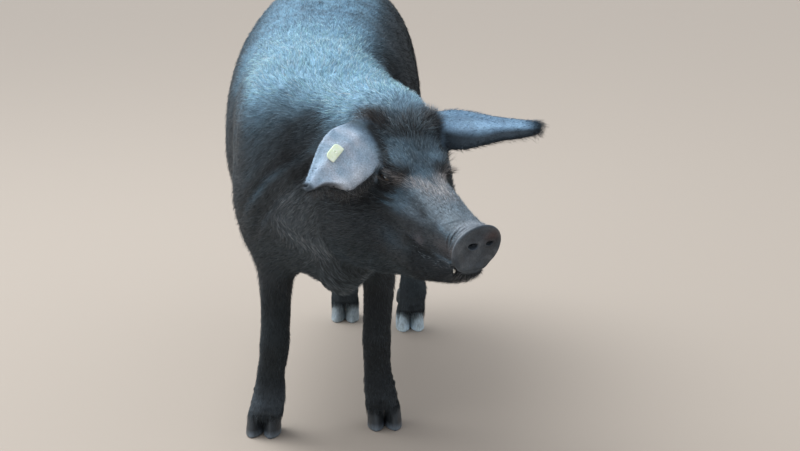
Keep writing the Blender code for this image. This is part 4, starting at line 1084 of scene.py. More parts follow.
    # the dark side of the neck behind the right ear, and the lower lip painted near-black as painted shade under the
    # jaw
    r, s = to_path(x, y, z, [(0.002, -0.112, 0.592), (-0.022, -0.106, 0.572), (-0.030, -0.108, 0.548), (-0.016, -0.124, 0.525)])
    m["nape"] = bell(r, 0.040) * rest
    m["lower_lip"] = soft(t, 0.150, 0.120) * soft(b + 0.10 * np.clip(0.030 - t, 0, 1), -0.037, -0.046) * (1 - m["disc"]) * rest
    # the far ear's front half and tip, where its painted shade lies, are matt as well
    black = np.maximum(soft(ear_v, 0.30, 0.65), soft(ear_u, 0.80, 0.95)) * ear * (ear_side > 0)
    # painted shade: the left flank, turned from the light, and the right flank behind the shoulder to match it
    far = np.maximum(soft(n[:, 0], 0.30, 0.80) * soft(y, -0.09, 0.12), soft(-n[:, 0], 0.45, 0.90) * soft(y, 0.16, 0.40)) * rest
    m["flank"] = far
    m["dull"] = np.clip(np.maximum.reduce([black, far, m["chin"], m["shade"], m["lower_lip"], 0.8 * m["nape"], m["head"] * soft(up, -0.10, -0.50), 0.55 * m["leg"], m["belly"], m["throat"] * 0.8]), 0, 1)
    m["hind"] = soft(y, 0.30, 0.36)
    m["legback"] = m["leg"] * soft(n[:, 1], 0.2, 0.7)
    # the corner of the mouth and the lips
    r, s = to_path(np.abs(a), t, b, LIP)
    m["lips"] = bell(r, 0.0075) * rest
    r, s = to_path(np.abs(a), t, b, [(0.0410, 0.114, -0.0428), (0.0435, 0.126, -0.0400), (0.0455, 0.138, -0.0365)])
    m["corner"] = bell(r, 0.0055) * rest
    m["fold"] = bell(np.sqrt((np.abs(a) - 0.0430) ** 2 + (t - 0.108) ** 2 + (b + 0.0300) ** 2), 0.010) * rest
    return m


# ---------------------------------------------------------------- an unwrap of the skin's own shape
BODY, TAIL_CHART, EAR_CHART = 0, 5, 6


def unwrap(P, n, chart=None):
    """Chart and place in the unit square of each point: body as one long tube, and legs, tail and both faces of each ear apart."""
    m = places(P, n)
    a, t, b, x, y, z = (m[k] for k in ("a", "t", "b", "x", "y", "z"))
    blend = soft(t, 0.26, 0.46)
    s = (1 - blend) * t + blend * (y + 0.40)
    px = (1 - blend) * a + blend * (x - 0.005)
    pz = (1 - blend) * (b + 0.020) + blend * (z - 0.475)
    r = np.hypot(px, pz)
    s = s + (0.62 - 1.24 * np.clip(s / 1.24, 0, 1)) * r
    U, V = 0.01 + 0.98 * np.clip((s + 0.03) / 1.30, 0, 1), 0.01 + 0.58 * (np.arctan2(px, pz) / (2 * math.pi) + 0.5)
    legs = []
    which = np.zeros(len(P), int)
    for k, (name, st) in enumerate(LEGS.items()):
        dx, dy = x - st["side"](z), y - st["height"](z)
        which[(z < 0.285) & (np.hypot(dx, dy) < 0.10) & (t > 0.30)] = 1 + k
        ang = np.arctan2(dx, -dy) / (2 * math.pi) + 0.5
        legs.append((0.25 * k + 0.012 + 0.226 * ang, 0.62 + 0.20 * np.clip(z / 0.30, 0, 1)))
    which[m["tail"] > 0.5] = TAIL_CHART
    slot = ((m["ear_side"] > 0) * 2 + (m["ear_top"] > 0)).astype(int)
    on = m["ear"] > 0.5
    which[on] = EAR_CHART + slot[on]
    if chart is None:
        chart = which
    for k in range(4):
        on = chart == 1 + k
        U, V = np.where(on, legs[k][0], U), np.where(on, legs[k][1], V)
    c = TAIL_LINE[np.round(m["tail_s"] * 40).astype(int)]
    ang = np.arctan2(x - c[:, 0], y - c[:, 1]) / (2 * math.pi) + 0.5
    on = chart == TAIL_CHART
    U, V = np.where(on, 0.87 + 0.11 * ang, U), np.where(on, 0.84 + 0.15 * m["tail_s"], V)
    on = chart >= EAR_CHART
    U = np.where(on, 0.012 + 0.21 * (chart - EAR_CHART) + 0.19 * np.clip(m["ear_u"], 0, 1.1) / 1.1, U)
    V = np.where(on, 0.84 + 0.15 * np.clip((m["ear_v"] + 1.3) / 2.6, 0, 1), V)
    return chart, np.stack([U, V], -1)


def skin_map(me, P, tri, n_face):
    """UV corners of the skin: each triangle is laid whole in its middle's chart."""
    mid = P[tri].mean(1)
    chart, uvm = unwrap(mid, n_face)
    out = np.empty((len(tri), 3, 2))
    span = np.where(chart == BODY, 0.58, np.where(chart == TAIL_CHART, 0.11, 0.226))
    ax = np.where(chart == BODY, 1, 0)
    row = np.arange(len(tri))
    for c in range(3):
        _, uv = unwrap(P[tri[:, c]], n_face, chart)
        d = uv[row, ax] - uvm[row, ax]
        uv[row, ax] -= np.where((np.abs(d) > span * 0.5) & (chart <= TAIL_CHART), np.sign(d) * span, 0)
        out[:, c] = uv
    layer = me.uv_layers.new(name="OFBake")
    layer.uv.foreach_set("vector", np.clip(out, 0.0005, 0.9995).astype(np.float32).ravel())


# ---------------------------------------------------------------- markings: one rule for the colour of skin and coat
def mix(A, B, w):
    return A + (np.asarray(B) - A) * w[:, None]


def markings(m, P):
    """Linear colour of the skin at each point."""
    n = len(P)
    up = m["up"]
    c = np.zeros((n, 3)) + (0.0125, 0.0170, 0.0208)
    patch = wobble(P, 0.16, 3)
    fine = wobble(P, 0.030, 4)
    body = 1 - m["ear"]
    # the painted sky light comes from above, leaning a little to the animal's right
    sky = m["n"] @ unit((-0.20, 0.05, 1.0))
    top = soft(sky + 0.10 * patch, 0.10, 0.85)
    # painted sky reflection: surfaces facing up, and a little towards the light, painted slate blue over back, withers,
    # crest and bridge of the snout
    c = mix(c, (0.110, 0.222, 0.310), top * body * (0.86 + 0.14 * fine))
    # painted highlight: the crest of the neck painted a brighter blue, where the sky light catches it
    c = mix(c, (0.228, 0.402, 0.530), m["crest"] * soft(m["t"] - 0.027 * soft(np.abs(m["a"]), 0.020, 0.055), 0.257, 0.294) * 0.90)
    # painted light: sides facing up, the higher ones more, painted lighter grey than those facing down
    side = soft(up + 0.06 * patch, -0.45, 0.30) * (1 - top) * body
    c = mix(c, (0.030, 0.038, 0.045), side * (0.55 + 0.25 * soft(P[:, 2], 0.42, 0.54)))
    # painted shade on the flanks turned from the light
    c = mix(c, (0.010, 0.0118, 0.0135), m["flank"] * (0.78 + 0.10 * patch))
    # painted shade under the head
    c = mix(c, (0.009, 0.0115, 0.013), m["head"] * soft(up, -0.05, -0.45) * 0.7)
    c = mix(c, (0.034, 0.044, 0.050), m["throat"] * 0.7)
    # the face is greyer, its bridge paler: upward-facing head and face painted paler, partly their pale bristles and
    # partly painted light from above; the face's downward-facing sides painted darker as painted shade
    c = mix(c, (0.060, 0.072, 0.082), m["head"] * soft(up, 0.15, 0.8) * 0.6)
    c = mix(c, (0.116, 0.142, 0.164), m["face"] * soft(up, 0.02, 0.60) * 0.75)
    c = mix(c, (0.042, 0.049, 0.058), m["face"] * soft(up, 0.35, -0.25) * soft(m["b"], -0.050, -0.025) * 0.6)
    c = mix(c, (0.075, 0.066, 0.070), m["snout"] * soft(up, 0.2, -0.3) * soft(m["b"], -0.045, -0.02) * 0.5)
    # painted shade under the chin
    c = mix(c, (0.007, 0.007, 0.008), m["chin"] * 0.95)
    c = mix(c, (0.034, 0.028, 0.025), m["poll"] * (0.60 + 0.30 * fine))
    c = mix(c, (0.026, 0.020, 0.018), np.clip(m["temple"] * 1.3, 0, 1))
    # painted shade: the skin round each eye darkened
    c = mix(c, (0.009, 0.009, 0.010), soft(m["eye"], 0.036, 0.022) * 0.95)
    c = mix(c, (0.062, 0.076, 0.088), m["pale_neck"] * 0.75)
    c = mix(c, (0.012, 0.013, 0.0145), np.clip(m["nape"] * 1.5, 0, 1) * 0.88)
    c = mix(c, (0.0045, 0.0045, 0.005), m["shade"] * 0.92)
    # painted shade along the mouth line
    c = mix(c, (0.014, 0.014, 0.016), m["lips"] * 0.35)
    # painted shade under the jaw: the lower lip near-black
    c = mix(c, (0.008, 0.009, 0.010), m["lower_lip"] * 0.92)
    c = mix(c, (0.095, 0.086, 0.096), m["fold"] * 0.7)
    # painted shade in the corner of the mouth
    c = mix(c, (0.005, 0.004, 0.004), np.clip(m["corner"] * 1.3, 0, 1) * 0.95)
    c = mix(c, (0.160, 0.140, 0.135), m["streak"] * 0.40)
    # snout disc: bare, dark grey-brown, its rim paler
    c = mix(c, (0.057, 0.070, 0.084), m["disc"] * (0.9 + 0.1 * fine))
    # painted shade on the half of the disc turned from the light
    c = mix(c, (0.022, 0.025, 0.029), m["disc"] * soft(m["a"], 0.004, 0.034) * 0.55)
    c = mix(c, (0.150, 0.142, 0.145), m["rim"] * (1 - m["disc"]) * soft(m["t"], 0.05, 0.02) * 0.5 * soft(m["b"], -0.03, -0.01))
    c = mix(c, (0.240, 0.262, 0.290), m["snout"] * bell(m["t"] - 0.020, 0.013) * soft(m["b"], 0.012, 0.026) * (1 - m["disc"]) * 0.8)
    c = mix(c, (0.095, 0.060, 0.055), m["disc"] * bell(m["a"] - 0.026, 0.014) * bell(m["b"] - 0.014, 0.010) * 0.55)
    c = mix(c, (0.083, 0.090, 0.101), m["disc"] * soft(0.5 * fine + 0.5 * patch, 0.0, 0.6) * 0.5)
    # painted shade inside the nostril holes
    for s in (-1, 1):
        r = nostril(m["a"], m["b"], s)
        c = mix(c, (0.006, 0.005, 0.005), m["disc"] * soft(r, 1.05, 0.8))
        c = mix(c, (0.006, 0.005, 0.005), soft(m["t"], 0.04, 0.03) * soft(r, 0.95, 0.8) * soft(np.abs(m["b"]), 0.012, 0.008))
    # ears: bare grey with a mauve cast above, dark and hairy below; their upper faces carry the back's painted sky
    # reflection, and the far ear is painted lit along its top and shaded towards its front edge and tip
    above = m["ear"] * m["ear_back"]
    near = above * (m["ear_side"] < 0)
    # painted sky reflection on the ears' upper faces
    c = mix(c, (0.115, 0.205, 0.300), above)
    # painted light along the far ear's top
    c = mix(c, (0.170, 0.280, 0.395), above * (m["ear_side"] > 0) * soft(m["ear_v"], -0.35, 0.20))
    # the near ear's upper face painted pale blue: partly its bare grey skin, partly painted sky reflection
    c = mix(c, (0.410, 0.530, 0.650), near * soft(m["ear_u"], 0.10, 0.34) * (0.90 + 0.10 * patch))
    c = mix(c, (0.390, 0.425, 0.490), near * soft(m["ear_u"], 0.10, 0.34) * (0.35 + 0.30 * fine))
    c = mix(c, (0.520, 0.530, 0.560), near * soft(m["ear_v"], 0.35, 0.85) * soft(m["ear_u"], 0.3, 0.5) * 0.6)
    c = mix(c, (0.095, 0.145, 0.170), near * soft(m["ear_v"], 0.15, 0.85) * soft(m["ear_u"], 0.42, 0.16) * 0.65)
    c = mix(c, (0.045, 0.068, 0.080), near * soft(m["ear_u"] + 0.06 * m["ear_v"] + 0.03 * patch, 0.25, 0.10) * 0.88)
    c = mix(c, (0.250, 0.345, 0.440), near * soft(m["ear_u"], 0.80, 0.98) * 0.75)
    c = mix(c, (0.270, 0.390, 0.510), near * soft(m["ear_v"], -0.20, -0.75) * soft(m["ear_u"], 0.50, 0.75) * 0.6)
    c = mix(c, (0.050, 0.054, 0.060), near * np.maximum(soft(m["ear_v"], 0.66, 0.86) * soft(m["ear_u"], 0.66, 0.76), soft(m["ear_u"], 0.905, 0.955)) * 0.85)
    c = mix(c, (0.030, 0.031, 0.034), m["ear"] * (1 - m["ear_back"]))
    # painted shade on the far ear's front half and tip, turned from the light
    c = mix(c, (0.008, 0.010, 0.012), above * (m["ear_side"] > 0) * np.maximum(soft(m["ear_u"], 0.84, 1.0), soft(m["ear_v"] + 0.12 * patch, 0.40, 0.74)) * 0.95)
    # painted shade in the gaps at the ears' front roots
    c = mix(c, (0.010, 0.011, 0.012), np.clip(m["gap"] * 1.3, 0, 1) * 0.92)
    # legs nearly black, a little browner on the feet
    c = mix(c, (0.0080, 0.0100, 0.0115), m["leg"] * 0.85)
    # painted light: the right fore leg and foot, turned to the light, painted lighter
    lit_right_fore = soft(m["x"], 0.03, -0.03) * (1 - m["hind"])
    c = mix(c, (0.0115, 0.0160, 0.0185), m["leg"] * lit_right_fore * 0.8)
    c = mix(c, (0.034, 0.044, 0.050), m["leg"] * m["hind"] * 0.8)
    c = mix(c, (0.018, 0.021, 0.023), m["foot"] * 0.5)
    c = mix(c, (0.046, 0.057, 0.068), m["foot"] * lit_right_fore * 0.7)
    c = mix(c, (0.016, 0.017, 0.019), m["tail"] * 0.6)
    c = c * (1 + 0.10 * fine[:, None])
    return np.clip(c, 0.002, 0.9)


# ---------------------------------------------------------------- the coat
def lie(m, P, n):
    """Which way the hair lies: back from the snout and down the cheeks, back and down over the trunk, down the legs, out along the ears."""
    k = len(P)
    side = np.sign(m["x"] - 0.005)
    trunk = np.stack([0.10 * side, np.ones(k), -0.62 * (1 - np.abs(m["up"])) - 0.10], -1)
    trunk[:, 2] -= 0.5 * soft(m["y"], 0.72, 0.82)
    head = -HEAD[1][None] + 0 * P
    hs = np.sign(m["a"])
    out = soft(np.abs(m["a"]), 0.010, 0.045) * hs
    head = head + (0.35 * out)[:, None] * HEAD[0] - (0.30 * soft(m["b"], 0.03, -0.03))[:, None] * HEAD[2]
    # over the forehead the hair fans up and out from a whorl between the eyes
    fan = soft(m["t"], 0.19, 0.23) * soft(m["b"], 0.03, 0.06)
    head = head + (0.55 * fan * np.clip(m["a"] / 0.05, -1, 1))[:, None] * HEAD[0]
    w = soft(m["t"], 0.28, 0.42)[:, None]
    D = (1 - w) * head + w * trunk
    chest = m["chest"][:, None]
    D = (1 - chest) * D + chest * np.stack([0.9 * side, 0.2 + 0 * side, -0.7 + 0 * side], -1)
    arcs = m["arcs"][:, None]
    D = (1 - arcs) * D + arcs * np.array([0.85, -0.05, -0.50])
    leg = m["leg"][:, None]
    D = (1 - leg) * D + leg * np.array([0, 0.18, -1.0])
    tail = m["tail"][:, None]
    D = (1 - tail) * D + tail * np.array([0, 0.05, -1.0])
    for s, name in ((1, "left"), (-1, "right")):
        e = EARS[name]
        A, T = unit(e["along"]), unit(e["tip"])
        spread = np.sign(m["ear_v"]) * soft(np.abs(m["ear_v"]), 0.35, 1.0) * 1.1
        E = A[None] + spread[:, None] * T[None] * (0.25 + 0.35 * m["edge"][:, None])
        if s < 0:
            hang = (soft(m["ear_v"], 0.30, 0.75) * (m["ear_top"] < 0) * soft(m["ear_u"], 0.2, 0.4))[:, None]
            E = E + hang * (1.2 * T[None] * 1.0 + np.array([0, 0, -1.2]))
        on = (m["ear"] * (m["ear_side"] == s))[:, None]
        D = (1 - on) * D + on * E
    return D


def grow(skin_P, skin_tri, skin_n, count, seed):
    """Roots spread over the skin by the density each place asks for."""
    rng = np.random.default_rng(seed)
    A, B, C = (skin_P[skin_tri[:, k]] for k in range(3))
    cr = np.cross(B - A, C - A)
    area = 0.5 * np.linalg.norm(cr, axis=1)
    fn = cr / (2 * area[:, None] + 1e-15)
    mid = (A + B + C) / 3
    m = places(mid, fn)
    dens = 1.0 + 0.35 * m["crest"] + 0.9 * soft(mid[:, 1], 0.30, 0.0) * 0.5
    dens = dens * (1 - 0.45 * m["belly"])
    dens = dens + 1.2 * m["head"] + 1.6 * m["face"] + 2.2 * m["poll"] + 1.0 * m["jowl"]
    dens = dens + 0.9 * m["leg"] + 0.6 * m["foot"] + 3.0 * m["coronet"] + 1.2 * m["chin"] + 1.6 * m["streak"]
    ear = m["ear"]
    back_of_ear = ear * (m["ear_top"] > 0)
    dens = dens * (1 - ear) + ear * 1.6
    dens = dens * (1 - back_of_ear) + back_of_ear * np.where(m["ear_side"] < 0, 0.45, 2.0)
    dens = dens + 7.0 * ear * (m["ear_top"] < 0) * (m["ear_side"] < 0) * soft(m["ear_v"], 0.35, 0.75)
    dens = dens + 3.0 * m["edge"] + 1.4 * back_of_ear * soft(m["ear_u"], 0.80, 1.0) * 2
    dens = dens + 1.5 * m["tail"] * (1 + 4 * soft(m["tail_s"], 0.75, 0.9))
    dens = dens * (1 - m["disc"])
    dens = dens * soft(m["eye"], 0.0130, 0.0165)
    dens = dens * (1 - 0.9 * soft(m["t"], 0.013, 0.007))
    p = area * dens
    # the front of the nostrils' hole walls stays nearly bare
    p = p / p.sum()
    f = rng.choice(len(p), size=count, p=p)
    u, v = rng.random(count), rng.random(count)
    flip = u + v > 1
    u[flip], v[flip] = 1 - u[flip], 1 - v[flip]
    w = 1 - u - v
    P = A[f] * w[:, None] + B[f] * u[:, None] + C[f] * v[:, None]
    N = skin_n[skin_tri[f]]
    N = N[:, 0] * w[:, None] + N[:, 1] * u[:, None] + N[:, 2] * v[:, None]
    N /= np.linalg.norm(N, axis=1, keepdims=True) + 1e-12
    return P, N, rng


def hairs(P, N, rng):
    """Shape and colour of every hair: root, bend and tip, widths, colour."""
    m = places(P, N)
    k = len(P)
    D = lie(m, P, N)
    # clumps lean together: a slow swirl and a faster one
    swirl = 0.13 * wobble(P, 0.120, 11) + 0.10 * wobble(P, 0.030, 12) + 0.13 * rng.normal(size=k)
    swirl = swirl * (1 + 2.0 * m["poll"] + 0.5 * m["crest"] + 1.5 * m["temple"])
    D = D - (D * N).sum(1)[:, None] * N
    D /= np.linalg.norm(D, axis=1, keepdims=True) + 1e-12
    S = np.cross(N, D)
    D = D * np.cos(swirl)[:, None] + S * np.sin(swirl)[:, None]
    S = np.cross(N, D)

    def blend(base, *pairs):
        v = np.full(k, float(base))
        for w, x in pairs:
            v = v + (x - v) * np.clip(w, 0, 1)
        return v

    fringe = m["edge"] * (m["ear_side"] < 0)
    under = m["ear"] * (m["ear_top"] < 0) * soft(m["ear_v"], -0.92, -0.55)
    hang = m["ear"] * (m["ear_side"] < 0) * soft(m["ear_v"], 0.30, 0.75) * (m["ear_top"] < 0) * soft(m["ear_u"], 0.2, 0.4)
    length = blend(0.018, (m["crest"], 0.024), (m["belly"], 0.014), (m["head"], 0.013), (m["jowl"], 0.016), (m["face"], 0.0092), (m["snout"], 0.0060),
                   (m["streak"], 0.0120), (m["poll"], 0.024), (m["temple"], 0.024), (m["chin"], 0.011), (m["chest"], 0.013),
                   (m["leg"], 0.0095), (m["legback"] * 0.8, 0.013), (m["foot"], 0.0075), (m["coronet"] * (1 - m["hind"]), 0.024), (m["coronet"] * m["hind"], 0.0260),
                   (m["ear"], 0.0055), (m["ear"] * m["ear_back"] * (m["ear_side"] < 0) * soft(m["ear_u"], 0.26, 0.12), 0.0135), (under, 0.015), (under * (m["ear_side"] < 0) * soft(m["ear_v"], 0.35, 0.15), 0.0065), (m["edge"], 0.010), (fringe, 0.007 - 0.0042 * soft(m["ear_v"], 0.2, -0.2)), (hang, 0.021),
                   (m["ear"] * (m["ear_side"] > 0) * soft(m["ear_u"], 0.82, 1.0), 0.014), (m["ear"] * (m["ear_side"] < 0) * soft(m["ear_u"], 0.86, 1.0), 0.0065), (m["ear"] * (m["ear_side"] > 0) * soft(m["ear_u"], 0.80, 0.98), 0.0125),
                   (m["tail"], 0.016), (m["tail"] * soft(m["tail_s"], 0.75, 0.92), 0.042))
    length = length * np.clip(1 + 0.26 * rng.normal(size=k), 0.45, 1.7)
    lift = blend(8.5, (m["crest"], 16.0), (m["head"], 12.0), (m["face"], 10.0), (m["snout"], 14.0), (m["poll"], 33.0), (m["temple"], 32.0), (m["chin"], 18.0),
                 (m["jowl"], 12.0), (m["chest"], 12.0), (m["leg"], 8.0), (m["legback"] * 0.8, 12.0), (m["foot"], 8.0), (m["coronet"], 5.0), (m["ear"], 9.0), (under, 24.0), (m["edge"], 18.0),
                 (hang, 40.0), (m["ear"] * (m["ear_side"] > 0) * soft(m["ear_u"], 0.80, 1.0), 34.0), (m["tail"], 12.0), (m["streak"], 16.0))
    lift = np.radians(lift * np.clip(1 + 0.34 * rng.normal(size=k), 0.25, 2.1))
    width = blend(0.00046, (m["crest"], 0.00048), (m["head"], 0.00040), (m["face"], 0.00036), (m["snout"], 0.00031), (m["poll"], 0.00046),
                  (m["leg"], 0.00040), (m["foot"], 0.00038), (m["ear"], 0.00030), (m["edge"], 0.00036), (m["tail"], 0.00050))
    width = width * (0.8 + 0.4 * rng.random(k))
    # near the skin a hair rises, then it lies back
    c1, s1 = np.cos(lift * 1.25), np.sin(lift * 1.25)
    c2, s2 = np.cos(lift * 0.55), np.sin(lift * 0.55)
    bow = 0.16 * rng.normal(size=k) * length
    root = P - 0.0007 * N
    bend = P + (0.5 * length)[:, None] * (D * c1[:, None] + N * s1[:, None]) + bow[:, None] * S * 0.35
    tip = bend + (0.5 * length)[:, None] * (D * c2[:, None] + N * s2[:, None]) - bow[:, None] * S * 0.5
    # the fringe of each foot closes over its claws
    tip = tip - (0.26 * m["coronet"] * length)[:, None] * N
    bend = bend - (0.06 * m["coronet"] * length)[:, None] * N
    # long hair sags a little
    sag = soft(length, 0.018, 0.05)
    bend[:, 2] -= sag * 0.10 * length
    tip[:, 2] -= sag * 0.34 * length
    tip[:, 2] = np.maximum(tip[:, 2], 0.0012)
    bend[:, 2] = np.maximum(bend[:, 2], 0.0012)
    # colour: the skin's own marking, each hair's tone varied at random with some much brighter as painted glints, and a
    # few hairs much paler, partly pale bristles and partly painted glints where the coat faces up
    base = markings(m, P)
    r = rng.random(k)
    tone_and_glint = np.where(r < 0.55, 0.55 + 0.6 * rng.random(k), np.where(r < 0.88, 1.3 + 1.0 * rng.random(k), 2.2 + 1.6 * rng.random(k)))
    calm = (m["ear"] * m["ear_back"] * np.where(m["ear_side"] < 0, 1.0, 0.65))[:, None]
    col = base * (tone_and_glint[:, None] * (1 - calm) + calm * (0.75 + 0.3 * rng.random(k))[:, None]) + 0.004 * (1 - calm)
    # painted highlight: crest hairs painted brighter
    col = col * (1 + 0.35 * m["crest"])[:, None]
    r = np.where(calm[:, 0] > 0.5, 0.0, r)
    # pale hairs, commoner where the coat faces up: partly pale bristles, partly painted glints
    pale = (r > 0.90) * (0.30 + 0.7 * rng.random(k)) * (0.55 + 0.45 * soft(m["up"], -0.6, 0.4)) * (1 - 0.5 * m["leg"]) * (1 - 0.75 * np.maximum(m["chin"], m["lower_lip"])) * (1 - 0.5 * m["nape"])
    col = mix(col, (0.200, 0.220, 0.235), pale * 0.75)
    col = mix(col, (0.74, 0.66, 0.63), np.clip(m["streak"] * 1.45, 0, 1) * (rng.random(k) < 0.75) * (0.55 + 0.45 * rng.random(k)))
    tuft = np.linalg.norm(P - np.array((-0.045, -0.111, 0.470)), axis=1)
    col = mix(col, (0.40, 0.42, 0.44), np.maximum(m["arcs"], bell(tuft, 0.018)) * (rng.random(k) < 0.34))
    col = mix(col, (0.055, 0.040, 0.033), m["poll"] * (rng.random(k) < 0.45) * 0.8)
    col = mix(col, (0.022, 0.017, 0.015), m["poll"] * (rng.random(k) < 0.35) * 0.8)
    col = mix(col, (0.040, 0.030, 0.026), np.clip(m["temple"] * 1.5, 0, 1) * (rng.random(k) < 0.7))
    clean = 1 - 0.8 * fringe * soft(m["ear_v"], 0.25, -0.05)
    col = mix(col, (0.028, 0.023, 0.022), np.maximum(under * clean, fringe * 0.8 * soft(m["ear_v"], 0.2, 0.6)) * (rng.random(k) < 0.85))
    col = mix(col, (0.200, 0.190, 0.180), hang * (rng.random(k) < 0.42) * (0.3 + 0.7 * rng.random(k)))
    col = mix(col, (0.29, 0.33, 0.36), (m["jowl"] * bell(m["b"] + 0.055, 0.035) * bell(m["t"] - 0.385, 0.040) + m["chest"] * 0.45 + 0.40 * m["jowl"]) * (rng.random(k) < 0.26) * 0.85)
    col = mix(col, (0.24, 0.23, 0.23), m["snout"] * soft(m["up"], -0.2, 0.4) * (rng.random(k) < 0.35) * 0.8)
    col = mix(col, (0.50, 0.56, 0.62), m["face"] * soft(m["up"], 0.0, 0.5) * (rng.random(k) < 0.12) * 0.85)
    col = mix(col, (0.020, 0.022, 0.026), m["face"] * soft(m["up"], 0.0, 0.5) * (rng.random(k) < 0.22) * 0.7)
    brow = m["head"] * soft(m["t"], 0.175, 0.20) * soft(m["t"], 0.262, 0.245) * soft(m["b"], 0.045, 0.060)
    col = mix(col, (0.21, 0.285, 0.33), brow * (1 - m["gap"]) * (rng.random(k) < 0.36) * 0.85)
    col = mix(col, (0.42, 0.41, 0.42), (m["rim"] * soft(m["t"], 0.05, 0.03)) * (rng.random(k) < 0.30) * 0.8)
    col = mix(col, (0.15, 0.15, 0.15), m["chin"] * (rng.random(k) < 0.03) * 0.7)
    # nothing in the matt black places shines
    return m, root, bend, tip, width, S, N, np.clip(col, 0.003, 0.8)


def hair_piece(name, root, bend, tip, width, S, N, col, uv, dull=None):
    """One joined mesh of closed three-sided bristles."""
    k = len(root)
    ang = np.array([0, 2.0944, 4.18879])
    ring = lambda c, w: c[:, None, :] + w[:, None, None] * (np.cos(ang)[None, :, None] * S[:, None, :] + np.sin(ang)[None, :, None] * N[:, None, :])
    V = np.concatenate([ring(root, width * 0.5), ring(bend, width * 0.40), tip[:, None, :]], 1)          # k, 7, 3
    F = np.array([(0, 2, 1), (0, 1, 4), (0, 4, 3), (1, 2, 5), (1, 5, 4), (2, 0, 3), (2, 3, 5), (3, 4, 6), (4, 5, 6), (5, 3, 6)])
    vol = np.einsum("ij,ij->i", np.cross(V[:8, 1] - V[:8, 0], V[:8, 2] - V[:8, 0]), V[:8, 6] - V[:8, 0]).mean()
    if vol < 0:
        F = F[:, ::-1]
    T = (F[None] + 7 * np.arange(k)[:, None, None]).reshape(-1, 3)
    me = bpy.data.meshes.new(name)
    me.vertices.add(7 * k)
    me.vertices.foreach_set("co", V.astype(np.float32).ravel())
    me.loops.add(3 * len(T))
    me.loops.foreach_set("vertex_index", T.astype(np.int32).ravel())
    me.polygons.add(len(T))
    me.polygons.foreach_set("loop_start", np.arange(0, 3 * len(T), 3, dtype=np.int32))
    # each bristle is a small patch at its root's place on the unwrap
    pu = np.array([0.0, 0.5, 1.0, 0.0, 0.5, 1.0, 0.5])
    pv = np.array([0.0, 0.05, 0.0, 0.55, 0.6, 0.55, 1.0])
    patch = np.clip(uv[:, None, :], 0.002, 0.998) + 0.003 * (np.stack([pu, pv], -1)[None] - 0.5)
    layer = me.uv_layers.new(name="OFBake")
    layer.uv.foreach_set("vector", np.clip(patch.reshape(-1, 2)[T.ravel()], 0.0003, 0.9997).astype(np.float32).ravel())
    shade = np.array([0.55, 0.55, 0.55, 1.0, 1.0, 1.0, 1.15])
    C = np.ones((k, 7, 4), np.float32)
    C[..., :3] = np.clip(col[:, None, :] * shade[None, :, None], 0, 1)
    at = me.color_attributes.new("mark", "FLOAT_COLOR", "POINT")
    at.data.foreach_set("color", C.ravel())
    at = me.attributes.new("dull", "FLOAT", "POINT")
    at.data.foreach_set("value", np.repeat(np.zeros(k) if dull is None else dull, 7).astype(np.float32))
    me.update(calc_edges=True)
    me.shade_smooth()
    ob = bpy.data.objects.new(name, me)
    bpy.context.scene.collection.objects.link(ob)
    return ob


def mesh_arrays(ob):
    me = ob.data
    P = np.empty(3 * len(me.vertices), np.float32)
    me.vertices.foreach_get("co", P)
    P = P.reshape(-1, 3).astype(float)
    N = np.empty(3 * len(me.vertices), np.float32)
    me.vertices.foreach_get("normal", N)
    tri = np.empty(len(me.loops), np.int32)
    me.loops.foreach_get("vertex_index", tri)
    return P, tri.reshape(-1, 3), N.reshape(-1, 3).astype(float)


def dress(skin, count, pieces):
    """Markings and unwrap on the skin, and the coat over it. Runs in working coordinates."""
    P, tri, N = mesh_arrays(skin)
    m = places(P, N)
    col = np.ones((len(P), 4), np.float32)
    col[:, :3] = markings(m, P)
    at = skin.data.color_attributes.new("mark", "FLOAT_COLOR", "POINT")
    at.data.foreach_set("color", col.ravel())
    wet = np.zeros(len(P), np.float32)
    wet[:] = np.clip(m["disc"] + bell(m["eye"] - 0.0125, 0.0022) + 0.4 * m["corner"], 0, 1)
    skin.data.attributes.new("wet", "FLOAT", "POINT").data.foreach_set("value", wet)
    skin.data.attributes.new("dull", "FLOAT", "POINT").data.foreach_set("value", m["dull"].astype(np.float32))
    fn = np.cross(P[tri[:, 1]] - P[tri[:, 0]], P[tri[:, 2]] - P[tri[:, 0]])
    fn /= np.linalg.norm(fn, axis=1, keepdims=True) + 1e-15
    skin_map(skin.data, P, tri, fn)
    R, RN, rng = grow(P, tri, N, count, 21)
    m, root, bend, tip, width, S, NN, col = hairs(R, RN, rng)
    chart, uv = unwrap(R, RN)
    out = []
    for k in range(pieces):
        s = slice(k, None, pieces)
        out.append(hair_piece("coat_%d" % (k + 1), root[s], bend[s], tip[s], width[s], S[s], NN[s], col[s], uv[s], m["dull"][s]))
    print("coat", count, "hairs", len(out), "pieces", [len(o.data.polygons) for o in out])
    return out


# ---------------------------------------------------------------- materials
def material(name):
    m = bpy.data.materials.new(name)
    m.use_nodes = True
    nt = m.node_tree
    return m, nt, nt.nodes["Principled BSDF"]


def node(nt, kind, **inputs):
    n = nt.nodes.new(kind)
    for k, v in inputs.items():
        n.inputs[k].default_value = v
    return n


def noise(nt, scale, detail=4.0, rough=0.55, coords=None):
    n = node(nt, "ShaderNodeTexNoise", Scale=scale, Detail=detail, Roughness=rough)
    if coords is not None:
        nt.links.new(coords, n.inputs["Vector"])
    return n


def ramp(nt, fac, stops):
    r = nt.nodes.new("ShaderNodeValToRGB")
    e = r.color_ramp.elements
    while len(e) < len(stops):
        e.new(0.5)
    for x, (p, c) in zip(e, stops):
        x.position = p
        x.color = (*c, 1.0) if len(c) == 3 else c
    nt.links.new(fac, r.inputs["Fac"])
    return r


def grey(v):
    return (v, v, v)


